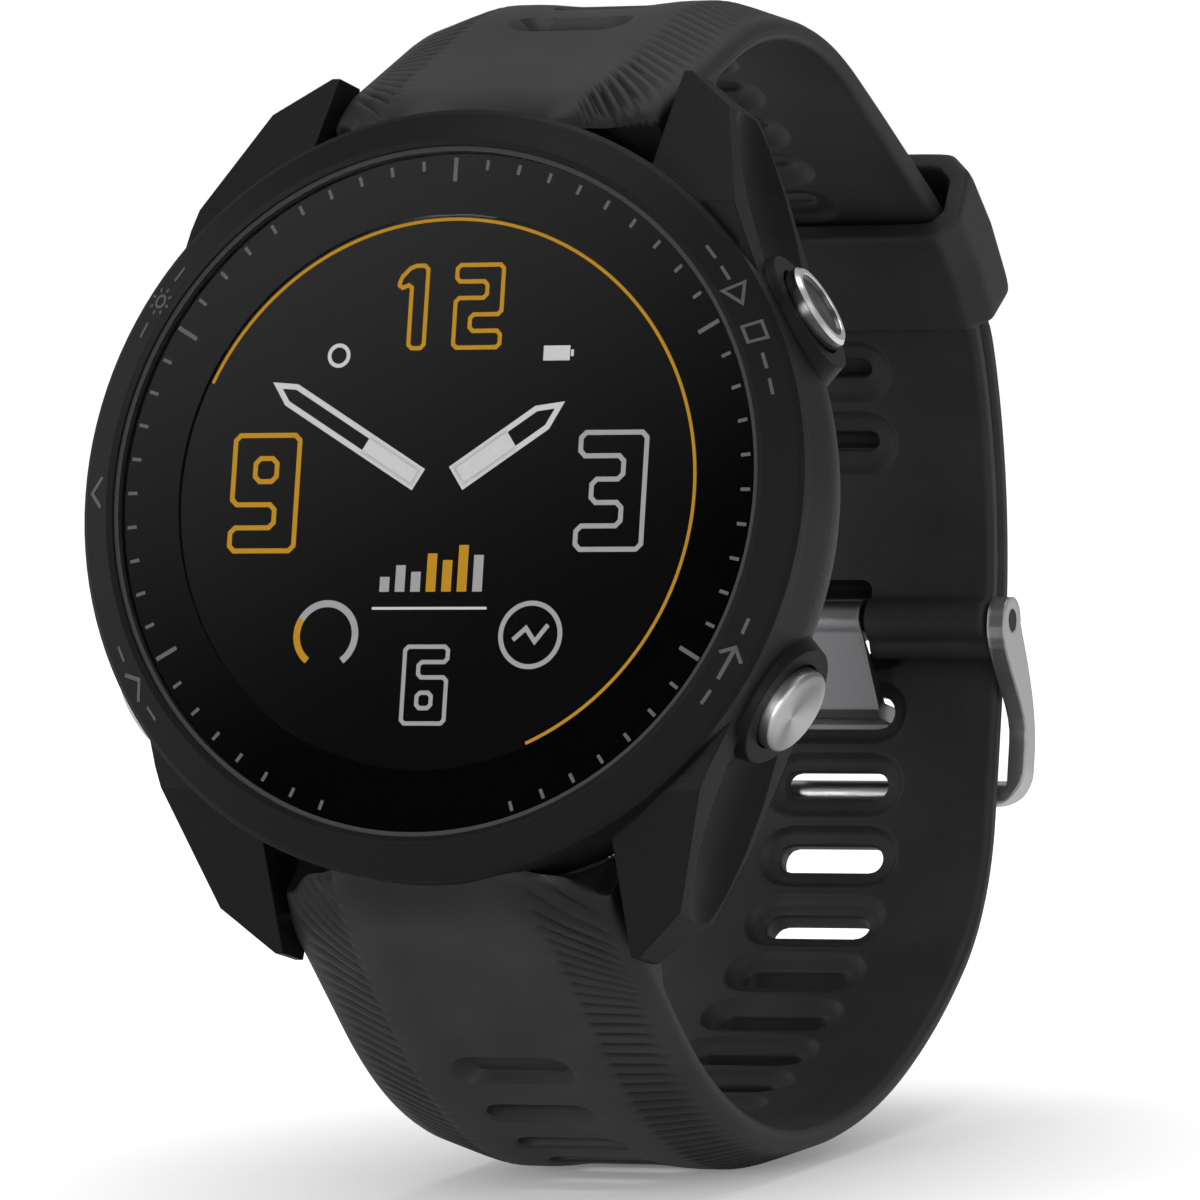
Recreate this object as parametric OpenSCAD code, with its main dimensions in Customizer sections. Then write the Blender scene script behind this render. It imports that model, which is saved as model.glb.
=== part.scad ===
// Running watch: round case with five side buttons, a two-piece silicone strap with a
// pin buckle and a sliding keeper. The watch frame has x towards 3 o'clock, y from the
// bezel front into the case and z towards 12 o'clock. placed() leans the watch back and
// stands it on its strap, with the origin at the bottom centre of its box.

/* [Case] */
// Outer diameter of the bezel and case
case_d = 46.5; // [44:0.1:49]
// Thickness from the bezel front to the sensor window
case_t = 14.4; // [13.6:0.1:16]
// Height of the bezel ring
bezel_h = 2.4; // [2.2:0.05:2.8]
// Fall of the bezel's sloping face from its inner to its outer edge
bezel_drop = 1.15; // [0.8:0.05:1.4]
// Radial width of the bezel's sloping face
bezel_face = 1.8; // [1.4:0.05:2.2]
// Size of the chamfer at the bezel's outer rim
bezel_rim = 0.3; // [0.2:0.05:0.4]
// Depth at which the case side starts to curve inwards
barrel_start = 5.6; // [4.5:0.1:6.5]
// Inward reach of the case's curved side at its back edge
back_inset = 3.25; // [2.8:0.05:3.6]
// Height of the sensor window above the case's back edge
window_proud = 1.5; // [1.3:0.05:1.9]
// Wall of the case round its cavity
case_wall = 3.05; // [2.9:0.05:3.2]
// Width of the case's rim round the rear cover
cover_rim = 1.6; // [1.4:0.05:1.9]
// Thickness of the rear cover
cover_t = 1.5; // [1.3:0.05:1.8]
// Clearance between parts that are fitted into each other
fit_gap = 0.15; // [0.1:0.01:0.2]

/* [Glass and screen] */
// Distance of the glass edge inside the case's outer side
glass_edge = 2.75; // [2.65:0.05:3.2]
// Thickness of the glass
lens_t = 0.65; // [0.5:0.05:0.75]
// Depth of the glass front behind the bezel front
lens_sink = 0.15; // [0:0.05:0.25]
// Radial width of the gasket round the glass
gasket_w = 0.3; // [0.2:0.05:0.4]
// Width of the printed minute ring
ring_w = 3.75; // [3.2:0.05:4.4]
// Thickness of the printed minute ring
ring_t = 0.2; // [0.15:0.05:0.3]
// Thickness of the display panel
panel_t = 0.9; // [0.7:0.05:1]
// Thickness of the backlight
backlight_t = 0.6; // [0.4:0.05:0.7]

/* [Lugs] */
// Distance of a lug's tip outside its spring bar
lug_out = 2.5; // [2:0.1:3.2]
// Width of one lug at its tip
lug_tip_w = 0.5; // [0.4:0.1:1.2]
// Width of one lug where its tip chamfer ends
lug_w = 3.6; // [3.2:0.1:4.2]
// Depth of the lug tip's front edge
lug_tip_depth = 8.2; // [7.4:0.1:8.8]
// Distance inside the case radius at which a lug leaves the bezel
lug_root_in = 5.65; // [4.75:0.05:6.5]
// Length of the lens-shaped scoop in a lug's outer side
scoop_l = 36; // [30:0.5:42]
// Radius of that scoop at its middle
scoop_r = 6; // [5.2:0.1:7]
// Depth of that scoop
scoop_cut = 1.2; // [0.8:0.05:1.4]

/* [Buttons] */
// Diameter of a button cap
cap_d = 5.4; // [5:0.1:5.8]
// Height of a button's outer face above the case side
cap_proud = 1.35; // [1.05:0.05:1.75]
// Height of a button cap
cap_h = 1.7; // [1.5:0.05:1.9]
// Height of the button guards above the case side
guard_proud = 0.45; // [0.25:0.05:0.65]
// Wall of the guard round a cap
boss_wall = 1.0; // [0.8:0.05:1.2]
// Depth of the button axes behind the bezel front
button_depth = 7.6; // [7.2:0.05:7.9]
// Travel of a button
button_travel = 0.6; // [0.4:0.05:0.65]
// Diameter of a button stem
stem_d = 2; // [1.6:0.05:2.2]
// Radial clearance of stems, pins and bars that move in a bore
running_gap = 0.05; // [0.03:0.01:0.08]
// Width of the chrome ring of the start button
chrome_w = 0.8; // [0.6:0.05:1]

/* [Strap] */
// Width of the strap between the lugs
strap_w = 22; // [21:0.1:22.6]
// Thickness of the strap at its edges
edge_t = 1.4; // [1.2:0.05:1.6]
// Thickness of the strap at its two crests
crest_t = 2.6; // [2.2:0.05:3]
// Thickness of the strap in the middle of its outer face
middle_t = 2.2; // [1.8:0.05:2.6]
// Thickness of the flat stretch that carries the buckle and of the tail
flat_t = 1.6; // [1.5:0.05:1.8]
// Distance from the middle of the strap to each crest
crest_x = 6.5; // [5.5:0.1:7.5]
// Clearance between the strap and what it runs along
strap_gap = 0.3; // [0.2:0.05:0.4]
// Radius of the lower strap at the bottom of the loop
lower_bottom_r = 30.5; // [28:0.1:33]
// Radius of the lower strap as it climbs to the back
lower_climb_r = 46; // [43:0.5:49]
// Radius of the lower strap's bend into the upright back
lower_back_r = 13.8; // [12:0.1:16]
// Radius of the upper strap over the top of the loop
upper_top_r = 23.5; // [22:0.1:26]
// Radius of the upper strap under the keeper
keeper_bend_r = 19.5; // [18:0.1:21]
// Radius of the upper strap below the keeper
upper_back_r = 34; // [31:0.5:37]
// Pitch of the slots along both straps
slot_pitch = 4.8; // [4.5:0.05:5.2]
// Length of a slot across the strap
slot_l = 7.6; // [7:0.1:8.6]
// Width of a slot along the strap
slot_w = 2.2; // [2:0.05:2.6]
// Length of the pocket round a slot on the inner face
pocket_l = 9.6; // [9:0.1:10.6]
// Width of that pocket along the strap
pocket_w = 3.9; // [3.4:0.05:4.1]
// Depth of that pocket
pocket_cut = 0.5; // [0.4:0.05:0.7]

/* [Spring bars] */
// Distance of the spring bars in front of the case's back edge
bar_in = 2.6; // [2.4:0.05:2.9]
// Distance of the spring bars outside the case radius
bar_out = 1.05; // [0.85:0.05:1.25]
// Outer diameter of a spring bar
bar_d = 1.8; // [1.6:0.05:2]
// Diameter of a spring bar's tips
tip_d = 1.1; // [0.9:0.05:1.2]
// Length of a tip inside its lug
tip_l = 1.3; // [1.1:0.05:1.4]
// Radius of the strap's knuckle round a spring bar
knuckle_r = 2.1; // [1.9:0.05:2.2]
// Diameter of the quick release levers
lever_d = 1.1; // [0.9:0.05:1.2]

/* [Buckle and keeper] */
// Diameter of the buckle pin
pin_d = 1.4; // [1.2:0.05:1.5]
// Wall of the strap round the buckle pin
sleeve_wall = 0.7; // [0.6:0.05:0.8]
// Thickness of the buckle's arms
arm_t = 1.2; // [1:0.05:1.5]
// Radius of the buckle's arms round the pin
arm_round = 1.5; // [1.3:0.05:1.7]
// Radius of the buckle's outer corners
buckle_corner = 2.4; // [1.8:0.1:3]
// Diameter of the buckle's far bar
far_bar_d = 1.7; // [1.5:0.05:1.9]
// Height of the far bar below the buckle pin
far_bar_drop = 10.7; // [10.4:0.1:11]
// Width of the tongue
tongue_w = 4.6; // [4.2:0.1:5]
// Width of the tongue's foot, which goes through the strap's slot
foot_w = 6.4; // [5.4:0.1:6.6]
// Thickness of the tongue
tongue_t = 1.1; // [1:0.05:1.2]
// Height of the tongue's slot below the buckle pin
tongue_drop = 5.7; // [5.5:0.05:5.9]
// Wall of the keeper
keeper_t = 1.3; // [1.1:0.05:1.6]
// Angle that the keeper covers along the strap's bend
keeper_span = 27; // [24:0.5:28]

/* [Stance] */
// Angle by which the watch leans back on its strap
lean = 14; // [10:0.5:18]

/* [Hidden] */
$fn = 64;

// Button angles, clockwise from 12 o'clock
start_angle = 60;
back_angle = 120;
down_angle = 240;
up_angle = 270;
light_angle = 300;
button_angles = [start_angle, back_angle, down_angle, up_angle, light_angle];

// Case radii and depths
case_r = case_d / 2;
side_r = case_r - 0.05;
back_depth = case_t - window_proud;
bar_depth = back_depth - bar_in;
lens_r = case_r - glass_edge;
display_r = lens_r - ring_w;
back_edge_r = case_r - back_inset;
cavity_r = case_r - case_wall;
cap_reach = case_r + cap_proud;
boss_reach = case_r + guard_proud;
bar_height = case_r + bar_out;
lug_tip = bar_height + lug_out;
face_r = case_r - bezel_rim - bezel_face;
bezel_edge = 0.15;
lens_seat = lens_sink + lens_t;
ring_depth = lens_seat + 0.04;
panel_depth = ring_depth + ring_t;
backlight_depth = panel_depth + panel_t;
chassis_depth = backlight_depth + backlight_t;
ledge_r = display_r + 2.4;
cover_depth = back_depth - cover_t;
cover_r = back_edge_r - cover_rim;
seat_r = cover_r + fit_gap;
seat_ledge = 0.8;
seat_inner_r = cover_r - 0.8;
seal_in_r = seat_inner_r + 0.15;
seal_out_r = seal_in_r + 0.5;
seal_cut = 0.4;
antenna_out_r = case_r - 1;
antenna_in_r = antenna_out_r - 1.2;
antenna_h = 0.6;
antenna_gap = 0.1;
barrel_rise = side_r - back_edge_r;
barrel_run = back_depth - barrel_start;
barrel_r = (barrel_rise * barrel_rise + barrel_run * barrel_run) / (2 * barrel_rise);
chassis_r = cavity_r - 3.3;
chassis_wall = 2;
chassis_floor = 1;
bump_r = cover_r - 4.8;
bump_h = 0.9;
window_r = bump_r - 3.6;
window_seat = 0.1;
sensor_hole_r = window_r - 1.5;
screw_circle_r = chassis_r - chassis_wall / 2;
screw_r = 0.5;
screw_l = 3;
screw_head_r = 1.1;
screw_head_h = 0.55;
screw_sink = 0.7;
port = [6, 2.5];
port_wall = 0.4;
contact_sink = 0.7;
port_height = -(cover_r - 2.4);

// Radius of the case side at a depth: straight, then one arc to the back edge
function side_at(depth) = depth <= barrel_start ? side_r
    : side_r - barrel_r + sqrt(barrel_r * barrel_r - pow(depth - barrel_start, 2));

// A strap is a path of arcs in the side view. Each piece of it is [radius, angle], where
// a left turn has a positive radius, or [0, length] on a straight stretch.
function piece_length(piece) = piece[0] == 0 ? piece[1] : abs(piece[0]) * piece[1] * PI / 180;
function piece_end(at, piece, s) =
    let (h = at[2], r = piece[0], turn = r == 0 ? 0 : s / r * 180 / PI)
    r == 0 ? [at[0] + s * cos(h), at[1] + s * sin(h), h]
    : [at[0] + r * (sin(h + turn) - sin(h)), at[1] + r * (cos(h) - cos(h + turn)), h + turn];
function path_at(at, pieces, s, i = 0) =
    let (whole = piece_length(pieces[i]))
    s <= whole || i == len(pieces) - 1 ? piece_end(at, pieces[i], s)
    : path_at(piece_end(at, pieces[i], whole), pieces, s - whole, i + 1);
function path_length(pieces, i = 0) =
    i == len(pieces) ? 0 : piece_length(pieces[i]) + path_length(pieces, i + 1);
function path_end(at, pieces) = path_at(at, pieces, path_length(pieces));

// The inner face of the lower strap, from the case to the upright back
strap_slope = 31;
root_run = 8.5;
strap_start_depth = bar_depth - root_run;
root_rise = 4.3;
strap_start = bar_height - root_rise;
strap_front = bezel_h + 1;
root_l = 18.4;
root_trim = 0.2;
lower_at = [strap_start_depth, -strap_start, -strap_slope];
lower_front = [[0, root_l], [lower_bottom_r, 41], [lower_climb_r, 37], [lower_back_r, 43]];
lower_back = path_end(lower_at, lower_front);

// The upper strap's stretch behind the top is as long as the lower strap's back needs
straight_slope = 17.8;
keeper_turn = 44;
upper_at = [strap_start_depth, strap_start, strap_slope];
upper_top = [[0, root_l - root_trim], [-upper_top_r, strap_slope + straight_slope]];
upper_bends = [[-keeper_bend_r, keeper_turn], [-upper_back_r, 90 - straight_slope - keeper_turn]];
upper_knee = path_end(upper_at, upper_top);
back_depth_upper = lower_back[0] - strap_gap - flat_t;
bend_reach = path_end([0, 0, -straight_slope], upper_bends);
straight_l = (back_depth_upper - upper_knee[0] - bend_reach[0]) / cos(straight_slope);
pin_rise = 1.2;
upper_end_l = pin_rise;
upper_front = concat(upper_top, [[0, straight_l]]);
upper_path = concat(upper_front, upper_bends, [[0, upper_end_l]]);
keeper_knee = path_end(upper_at, upper_front);
keeper_centre = [
    keeper_knee[0] - keeper_bend_r * sin(straight_slope),
    keeper_knee[1] - keeper_bend_r * cos(straight_slope)
];
upper_back = path_end(upper_at, concat(upper_front, upper_bends));
pin_height = upper_back[1] + pin_rise;

// The tail lies over the upper strap at an even gap and ends inside the keeper
tail_offset = flat_t + strap_gap;
tail_turn = 30;
tail_rise = upper_back[1] - lower_back[1];
tail = [
    [0, tail_rise],
    [upper_back_r + tail_offset, 90 - straight_slope - keeper_turn],
    [keeper_bend_r + tail_offset, tail_turn]
];
lower_path = concat(lower_front, tail);
lower_l = path_length(lower_path);
upper_l = path_length(upper_path);

// Thickness across the strap: crests near the lugs, flat under the keeper and buckle
edge_bevel = 0.3;
crest_w = 1.3;
dish_x = 0.4 * (slot_l - slot_w);
tail_r = strap_w / 2.4;
tail_blunt = 0.12;
function fade(s, from, to) = let (u = min(1, max(0, (s - from) / (to - from)))) u * u * (3 - 2 * u);
function mix(a, b, k) = a + (b - a) * k;
upper_flat = [0.33 * upper_l, 0.52 * upper_l];
lower_flat = [0.58 * lower_l, 0.7 * lower_l];
function tail_round(s, l, r) = s < l - r ? 1 : sqrt(max(tail_blunt, 1 - pow((s - l + r) / r, 2)));

// Outline of the strap's cross-section at one place, as [across, thickness]
function strap_section(w, k) =
    let (e = mix(edge_t, flat_t - 0.1, k), c = mix(crest_t, flat_t, k), m = mix(middle_t, flat_t, k))
    let (x = w / 2, b = edge_bevel, f = w / strap_w)
    let (far = crest_x * f, near = (crest_x - crest_w) * f, p = dish_x * f)
    [
        [-x, b], [-x, e], [-far, c], [-near, c], [-p, m], [p, m], [near, c], [far, c], [x, e], [x, b],
        [x - b, 0], [-x + b, 0]
    ];
function outward(at, side) = side * [sin(at[2]), -cos(at[2])];
function strap_ring(at, side, section) =
    [for (q = section) let (p = [at[0], at[1]] + q[1] * outward(at, side)) [q[0], p[0], p[1]]];

// Extremes of the leaned watch, for the origin at the bottom centre of its box
function leaned(p) = [p[0] * cos(lean) + p[1] * sin(lean), p[1] * cos(lean) - p[0] * sin(lean)];
strap_steps = 48;
lower_rings = [for (i = [0 : strap_steps]) lower_station(i / strap_steps * lower_l)];
upper_rings = [for (i = [0 : strap_steps]) upper_station(i / strap_steps * upper_l)];
function lower_station(s) = strap_ring(path_at(lower_at, lower_path, s), 1,
    strap_section(strap_w * tail_round(s, lower_l, tail_r), fade(s, lower_flat[0], lower_flat[1])));
function upper_station(s) = strap_ring(path_at(upper_at, upper_path, s), -1,
    strap_section(strap_w, fade(s, upper_flat[0], upper_flat[1])));
strap_marks = [for (ring = concat(lower_rings, upper_rings), p = ring) leaned([p[1], p[2]])];
far_bar_at = [lower_back[0] + flat_t + strap_gap + far_bar_d / 2, pin_height - far_bar_drop];
reach_back = max([for (m = strap_marks) m[0]]);
reach_front = leaned([0, -face_r])[0];
reach_low = min([for (m = strap_marks) m[1]]);

// The buckle pin, the tongue and the keeper, from the two straps' paths
pin_sleeve_r = pin_d / 2 + running_gap + sleeve_wall;
pin_sink = 0.1;
pin_at = [back_depth_upper + flat_t - pin_sleeve_r - pin_sink, pin_height];
slot_height = pin_height - tongue_drop;
tongue_slot_s = path_length(lower_front) + slot_height - lower_back[1];
tongue_in = lower_back[0] - 0.35;
tongue_out = lower_back[0] + flat_t + 0.4;
arm_inner = strap_w / 2 + strap_gap;
keeper_in_r = keeper_bend_r - strap_gap;
keeper_out_r = keeper_bend_r + tail_offset + flat_t + strap_gap;
keeper_rise = 4.5;
keeper_middle = 90 - straight_slope - keeper_turn / 2 + keeper_rise;

module placed() {
    translate([(cap_reach - case_r) / 2, -(reach_back + reach_front) / 2, -reach_low])
        rotate([-lean, 0, 0])
            children();
}

// A solid of revolution about the watch axis, drawn as [radius, depth]
module turned() {
    rotate([-90, 0, 0])
        rotate_extrude()
            children();
}

// A ring about the watch axis between two depths
module ring(r_out, r_in, from, to) {
    turned()
        translate([r_in, from])
            square([r_out - r_in, to - from]);
}

// A plate drawn in the side view as [depth, height], with its width along x
module side_plate(w, x = 0) {
    translate([x, 0, 0])
        rotate([90, 0, 90])
            linear_extrude(height = w, center = true)
                children();
}

// A bar along x at [depth, height]
module cross_bar(at, r, from, to) {
    translate([from, at[0], at[1]])
        rotate([0, 90, 0])
            cylinder(r = r, h = to - from);
}

// Children drawn along +z are set at a button, with z as the distance from the case centre
module at_button(angle) {
    translate([0, button_depth, 0])
        rotate([0, angle, 0])
            children();
}

module case_side(grow) {
    steps = 10;
    run = back_depth - barrel_start;
    turned()
        polygon(concat(
            [[0, bezel_h], [side_r + grow, bezel_h]],
            [for (i = [0 : steps]) let (d = barrel_start + run * i / steps) [side_at(d) + grow, d]],
            [[0, back_depth]]
        ));
}

// A body pointed at both ends along z, with a parabola as its outline
module spindle(l, r) {
    steps = 12;
    rotate_extrude()
        polygon([for (i = [0 : steps]) let (u = 2 * i / steps - 1) [r * (1 - u * u), u * l / 2]]);
}

module lug() {
    scoop_tilt = 11;
    inner = strap_w / 2 + strap_gap;
    tip = lug_tip;
    tip_chamfer = 2.5;
    tip_back = bar_depth + 0.9;
    back_run = 7;
    root_z = 11;
    root_x = sqrt(side_r * side_r - root_z * root_z) - 0.6;
    crease_x = inner + 2.2;
    corner = [inner + lug_w, tip - tip_chamfer];
    edge_middle = ([root_x, root_z] + corner) / 2;
    edge_turn = atan2(root_x - corner[0], corner[1] - root_z);
    difference() {
        intersection() {
            rotate([90, 0, 0])
                translate([0, 0, -back_depth])
                    linear_extrude(height = back_depth - bezel_h)
                        polygon([
                            [inner, root_z], [inner, tip], [inner + lug_tip_w, tip], corner,
                            [root_x, root_z]
                        ]);
            side_plate(4 * case_d)
                polygon([
                    [bezel_h, 0], [bezel_h, case_r - lug_root_in], [lug_tip_depth, tip],
                    [tip_back, tip], [back_depth, tip - back_run], [back_depth, 0]
                ]);
            linear_extrude(height = case_d)
                polygon([
                    [0, 0], [crease_x, 0], [case_r, 0.55 * (case_r - crease_x)],
                    [case_r, back_depth], [0, back_depth]
                ]);
        }
        translate([edge_middle[0], back_depth - 4.3, edge_middle[1]])
            rotate([-scoop_tilt, -edge_turn, 0])
                translate([scoop_r - scoop_cut, 0, 0])
                    spindle(scoop_l, scoop_r);
    }
}

module four_ways() {
    for (mx = [0, 1], mz = [0, 1])
        mirror([mx, 0, 0])
            mirror([0, 0, mz])
                children();
}

cap_hole_r = cap_d / 2 + fit_gap;
cap_floor = cap_reach - cap_h - button_travel - 0.3;
stem_hole_r = stem_d / 2 + running_gap;
seal_r = stem_hole_r + 0.7;
seal_h = 0.6;
clip_out = cavity_r - 0.35;
clip_h = 0.5;
clip_r = stem_d / 2 + 0.8;
neck_r = stem_d / 2 - 0.3;
switch_w = 3;
switch_h = 0.8;
stem_end = chassis_r + switch_h + button_travel + 0.1;

module case_body() {
    boss_base = case_r - 2.65;
    color([0.16, 0.16, 0.17])
        placed()
            difference() {
                union() {
                    case_side(0);
                    four_ways() lug();
                    for (a = button_angles)
                        at_button(a)
                            translate([0, 0, boss_base])
                                cylinder(
                                    r1 = cap_hole_r + boss_wall + 1,
                                    r2 = cap_hole_r + boss_wall,
                                    h = boss_reach - boss_base
                                );
                }
                ring(cavity_r, 0, bezel_h - 1, cover_depth - seat_ledge);
                ring(seat_inner_r, 0, cover_depth - seat_ledge - 1, back_depth);
                ring(seat_r, 0, cover_depth, back_depth + 1);
                ring(seal_out_r, seal_in_r, cover_depth - seal_cut, cover_depth + 1);
                for (a = button_angles)
                    at_button(a) {
                        translate([0, 0, cap_floor])
                            cylinder(r = cap_hole_r, h = case_r);
                        translate([0, 0, cap_floor - seal_h])
                            cylinder(r = seal_r, h = case_r);
                        cylinder(r = stem_hole_r, h = cap_reach);
                    }
                four_ways()
                    cross_bar([bar_depth, bar_height], tip_d / 2 + running_gap,
                        strap_w / 2, strap_w / 2 + strap_gap + tip_l + 0.2);
            }
}

module bezel() {
    seat = lens_r + gasket_w;
    color([0.2, 0.2, 0.21])
        placed()
            difference() {
                turned()
                    polygon([
                        [seat, bezel_edge], [face_r, 0], [face_r + bezel_face, bezel_drop],
                        [case_r, bezel_drop + bezel_rim], [case_r, bezel_h], [ledge_r, bezel_h],
                        [ledge_r, panel_depth], [seat, panel_depth]
                    ]);
                ring(antenna_out_r + antenna_gap, antenna_in_r - antenna_gap,
                    bezel_h - antenna_h - antenna_gap, bezel_h + 1);
            }
}

module lens() {
    edge = 0.12;
    color([0.05, 0.05, 0.06, 0.4])
        placed()
            turned()
                polygon([
                    [0, lens_sink], [lens_r - edge, lens_sink], [lens_r, lens_sink + edge],
                    [lens_r, lens_seat], [0, lens_seat]
                ]);
}

module lens_gasket() {
    color([0.03, 0.03, 0.03])
        placed()
            ring(lens_r + gasket_w, lens_r, lens_sink + 0.2, panel_depth);
}

module minute_ring() {
    color([0.02, 0.02, 0.02])
        placed()
            ring(lens_r, display_r, ring_depth, panel_depth);
}

module display_panel() {
    color([0.08, 0.08, 0.09])
        placed()
            ring(ledge_r - fit_gap, 0, panel_depth, backlight_depth);
}

module backlight() {
    color([0.85, 0.86, 0.88])
        placed()
            ring(ledge_r - 0.5, 0, backlight_depth, chassis_depth);
}

module inner_chassis() {
    color([0.3, 0.3, 0.32])
        placed()
            difference() {
                ring(chassis_r, 0, chassis_depth, cover_depth);
                ring(chassis_r - chassis_wall, 0, chassis_depth - 1, cover_depth - chassis_floor);
                ring(sensor_hole_r, 0, chassis_depth, cover_depth + 1);
                screw_places()
                    cylinder(r = screw_r + running_gap, h = cover_depth);
            }
}

// Children drawn along +z, with z as depth, are set at the four screws
module screw_places() {
    for (a = [45 : 90 : 315])
        rotate([-90, 0, 0])
            translate([screw_circle_r * cos(a), screw_circle_r * sin(a), 0])
                children();
}

board_r = chassis_r - chassis_wall - fit_gap;
board_t = 0.9;
chip_t = 1.1;
battery_t = 4;
battery_top = cover_depth - chassis_floor - battery_t;
board_depth = battery_top - board_t;

// A block on the watch axis frame: centre across, centre up, width, height, depth range
module block(x, z, w, h, from, to) {
    translate([x - w / 2, from, z - h / 2])
        cube([w, to - from, h]);
}

module main_board() {
    color([0.05, 0.3, 0.15])
        placed()
            ring(board_r, 0, board_depth, battery_top);
}

module shield_can() {
    color([0.7, 0.7, 0.72])
        placed()
            block(-0.41 * board_r, 0, 0.61 * board_r, 0.81 * board_r, board_depth - chip_t, board_depth);
}

module battery() {
    color([0.55, 0.56, 0.58])
        placed()
            block(0.23 * board_r, 0, 1.15 * board_r, 1.08 * board_r, battery_top, battery_top + battery_t);
}

module vibration_motor() {
    color([0.75, 0.75, 0.76])
        placed()
            translate([-0.65 * board_r, 0, 0])
                ring(0.255 * board_r, 0, battery_top + 0.3 * battery_t, battery_top + battery_t);
}

module beeper() {
    color([0.75, 0.62, 0.25])
        placed()
            translate([0.51 * board_r, 0, 0])
                ring(0.3 * board_r, 0, board_depth - chip_t, board_depth);
}

module antenna_ring() {
    color([0.72, 0.58, 0.3])
        placed()
            difference() {
                ring(antenna_out_r, antenna_in_r, bezel_h - antenna_h, bezel_h);
                block(0, -case_r, 2, 8, 0, 2 * bezel_h);
            }
}

module rear_cover() {
    bump_top = back_depth + bump_h;
    color([0.1, 0.1, 0.11])
        placed()
            difference() {
                turned()
                    polygon([
                        [sensor_hole_r, cover_depth], [cover_r, cover_depth], [cover_r, back_depth - 0.3],
                        [cover_r - 0.3, back_depth], [bump_r, back_depth], [bump_r - 1.2, bump_top],
                        [window_r + fit_gap, bump_top], [window_r + fit_gap, back_depth + window_seat],
                        [sensor_hole_r, back_depth + window_seat]
                    ]);
                screw_places() {
                    cylinder(r = screw_r + fit_gap, h = 2 * case_t);
                    translate([0, 0, back_depth - screw_sink])
                        cylinder(r = screw_head_r + fit_gap, h = case_t);
                }
                block(0, port_height, port[0] + 2 * fit_gap, port[1] + 2 * fit_gap,
                    cover_depth + 0.3, 2 * case_t);
            }
}

module rear_cover_seal() {
    color([0.12, 0.12, 0.12])
        placed()
            ring(seal_out_r, seal_in_r, cover_depth - seal_cut, cover_depth);
}

module rear_cover_screws() {
    head_depth = back_depth - screw_sink;
    color([0.6, 0.6, 0.62])
        placed()
            screw_places()
                difference() {
                    union() {
                        translate([0, 0, head_depth])
                            cylinder(r = screw_head_r, h = screw_head_h);
                        translate([0, 0, cover_depth - screw_l])
                            cylinder(r = screw_r, h = head_depth - cover_depth + screw_l);
                    }
                    translate([0, 0, head_depth + screw_head_h / 2])
                        cylinder(r = screw_r, h = 1, $fn = 6);
                }
}

module sensor_window() {
    r = window_r;
    edge = 0.4;
    color([0.03, 0.03, 0.04, 0.6])
        placed()
            turned()
                polygon([
                    [0, back_depth + window_seat], [r, back_depth + window_seat], [r, case_t - edge],
                    [r - edge, case_t], [0, case_t]
                ]);
}

module sensor_board() {
    color([0.05, 0.25, 0.14])
        placed()
            ring(sensor_hole_r - fit_gap, 0, back_depth - 0.8, back_depth - 0.3);
}

module sensor_emitters() {
    color([0.5, 0.8, 0.4])
        placed()
            for (a = [0 : 60 : 300])
                rotate([0, a, 0])
                    block(0.54 * sensor_hole_r, 0, 1.2, 1.2, back_depth - 0.3, back_depth + 0.05);
}

module charging_port() {
    color([0.05, 0.05, 0.05])
        placed()
            difference() {
                block(0, port_height, port[0], port[1], cover_depth + 0.3, back_depth - 0.2);
                block(0, port_height, port[0] - 2 * port_wall, port[1] - 2 * port_wall,
                    back_depth - contact_sink, case_t);
            }
}

module charging_contacts() {
    color([0.85, 0.7, 0.3])
        placed()
            for (i = [-1.5 : 1 : 1.5])
                translate([1.2 * i, 0, port_height])
                    ring(port_wall, 0, back_depth - contact_sink, back_depth - contact_sink / 2);
}

module tactile_switches() {
    color([0.8, 0.8, 0.8])
        placed()
            for (a = button_angles)
                at_button(a)
                    translate([-switch_w / 2, -switch_w / 2, chassis_r])
                        cube([switch_w, switch_w, switch_h]);
}

module button_seals() {
    color([0.1, 0.1, 0.1])
        placed()
            for (a = button_angles)
                at_button(a)
                    translate([0, 0, cap_floor - seal_h])
                        difference() {
                            cylinder(r = seal_r, h = seal_h - 0.05);
                            translate([0, 0, -1])
                                cylinder(r = stem_hole_r, h = 3);
                        }
}

// A button's cap on its stem, turned from one outline: [radius, distance from centre]
module cap_turning(angle, top) {
    groove = clip_out - clip_h;
    stem = stem_d / 2;
    under = cap_reach - cap_h;
    placed()
        at_button(angle)
            rotate_extrude()
                polygon(concat(
                    [
                        [0, stem_end], [stem, stem_end], [stem, groove], [neck_r, groove],
                        [neck_r, clip_out], [stem, clip_out], [stem, under], [cap_d / 2, under]
                    ],
                    top
                ));
}

// A rounded cap rim with a shallow dished middle
module dished_cap(angle) {
    r = cap_d / 2;
    dish = 0.25;
    round = 0.35;
    steps = 6;
    rim = [for (i = [0 : steps]) let (a = 90 * i / steps)
        [r - round + round * cos(a), cap_reach - round + round * sin(a)]];
    bowl = [for (i = [0 : steps]) let (u = 1 - i / steps)
        [(r - 0.7) * u, cap_reach - dish * (1 - u * u)]];
    cap_turning(angle, concat(rim, bowl));
}

module clip(angle) {
    color([0.6, 0.6, 0.62])
        placed()
            at_button(angle)
                translate([0, 0, clip_out - clip_h])
                    difference() {
                        cylinder(r = clip_r, h = clip_h);
                        translate([0, 0, -1])
                            cylinder(r = neck_r, h = clip_h + 2);
                        translate([-stem_d / 4, 0, -1])
                            cube([stem_d / 2, 2 * clip_r, clip_h + 2]);
                    }
}

disc_r = cap_d / 2 - chrome_w;
ring_h = 1;

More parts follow.
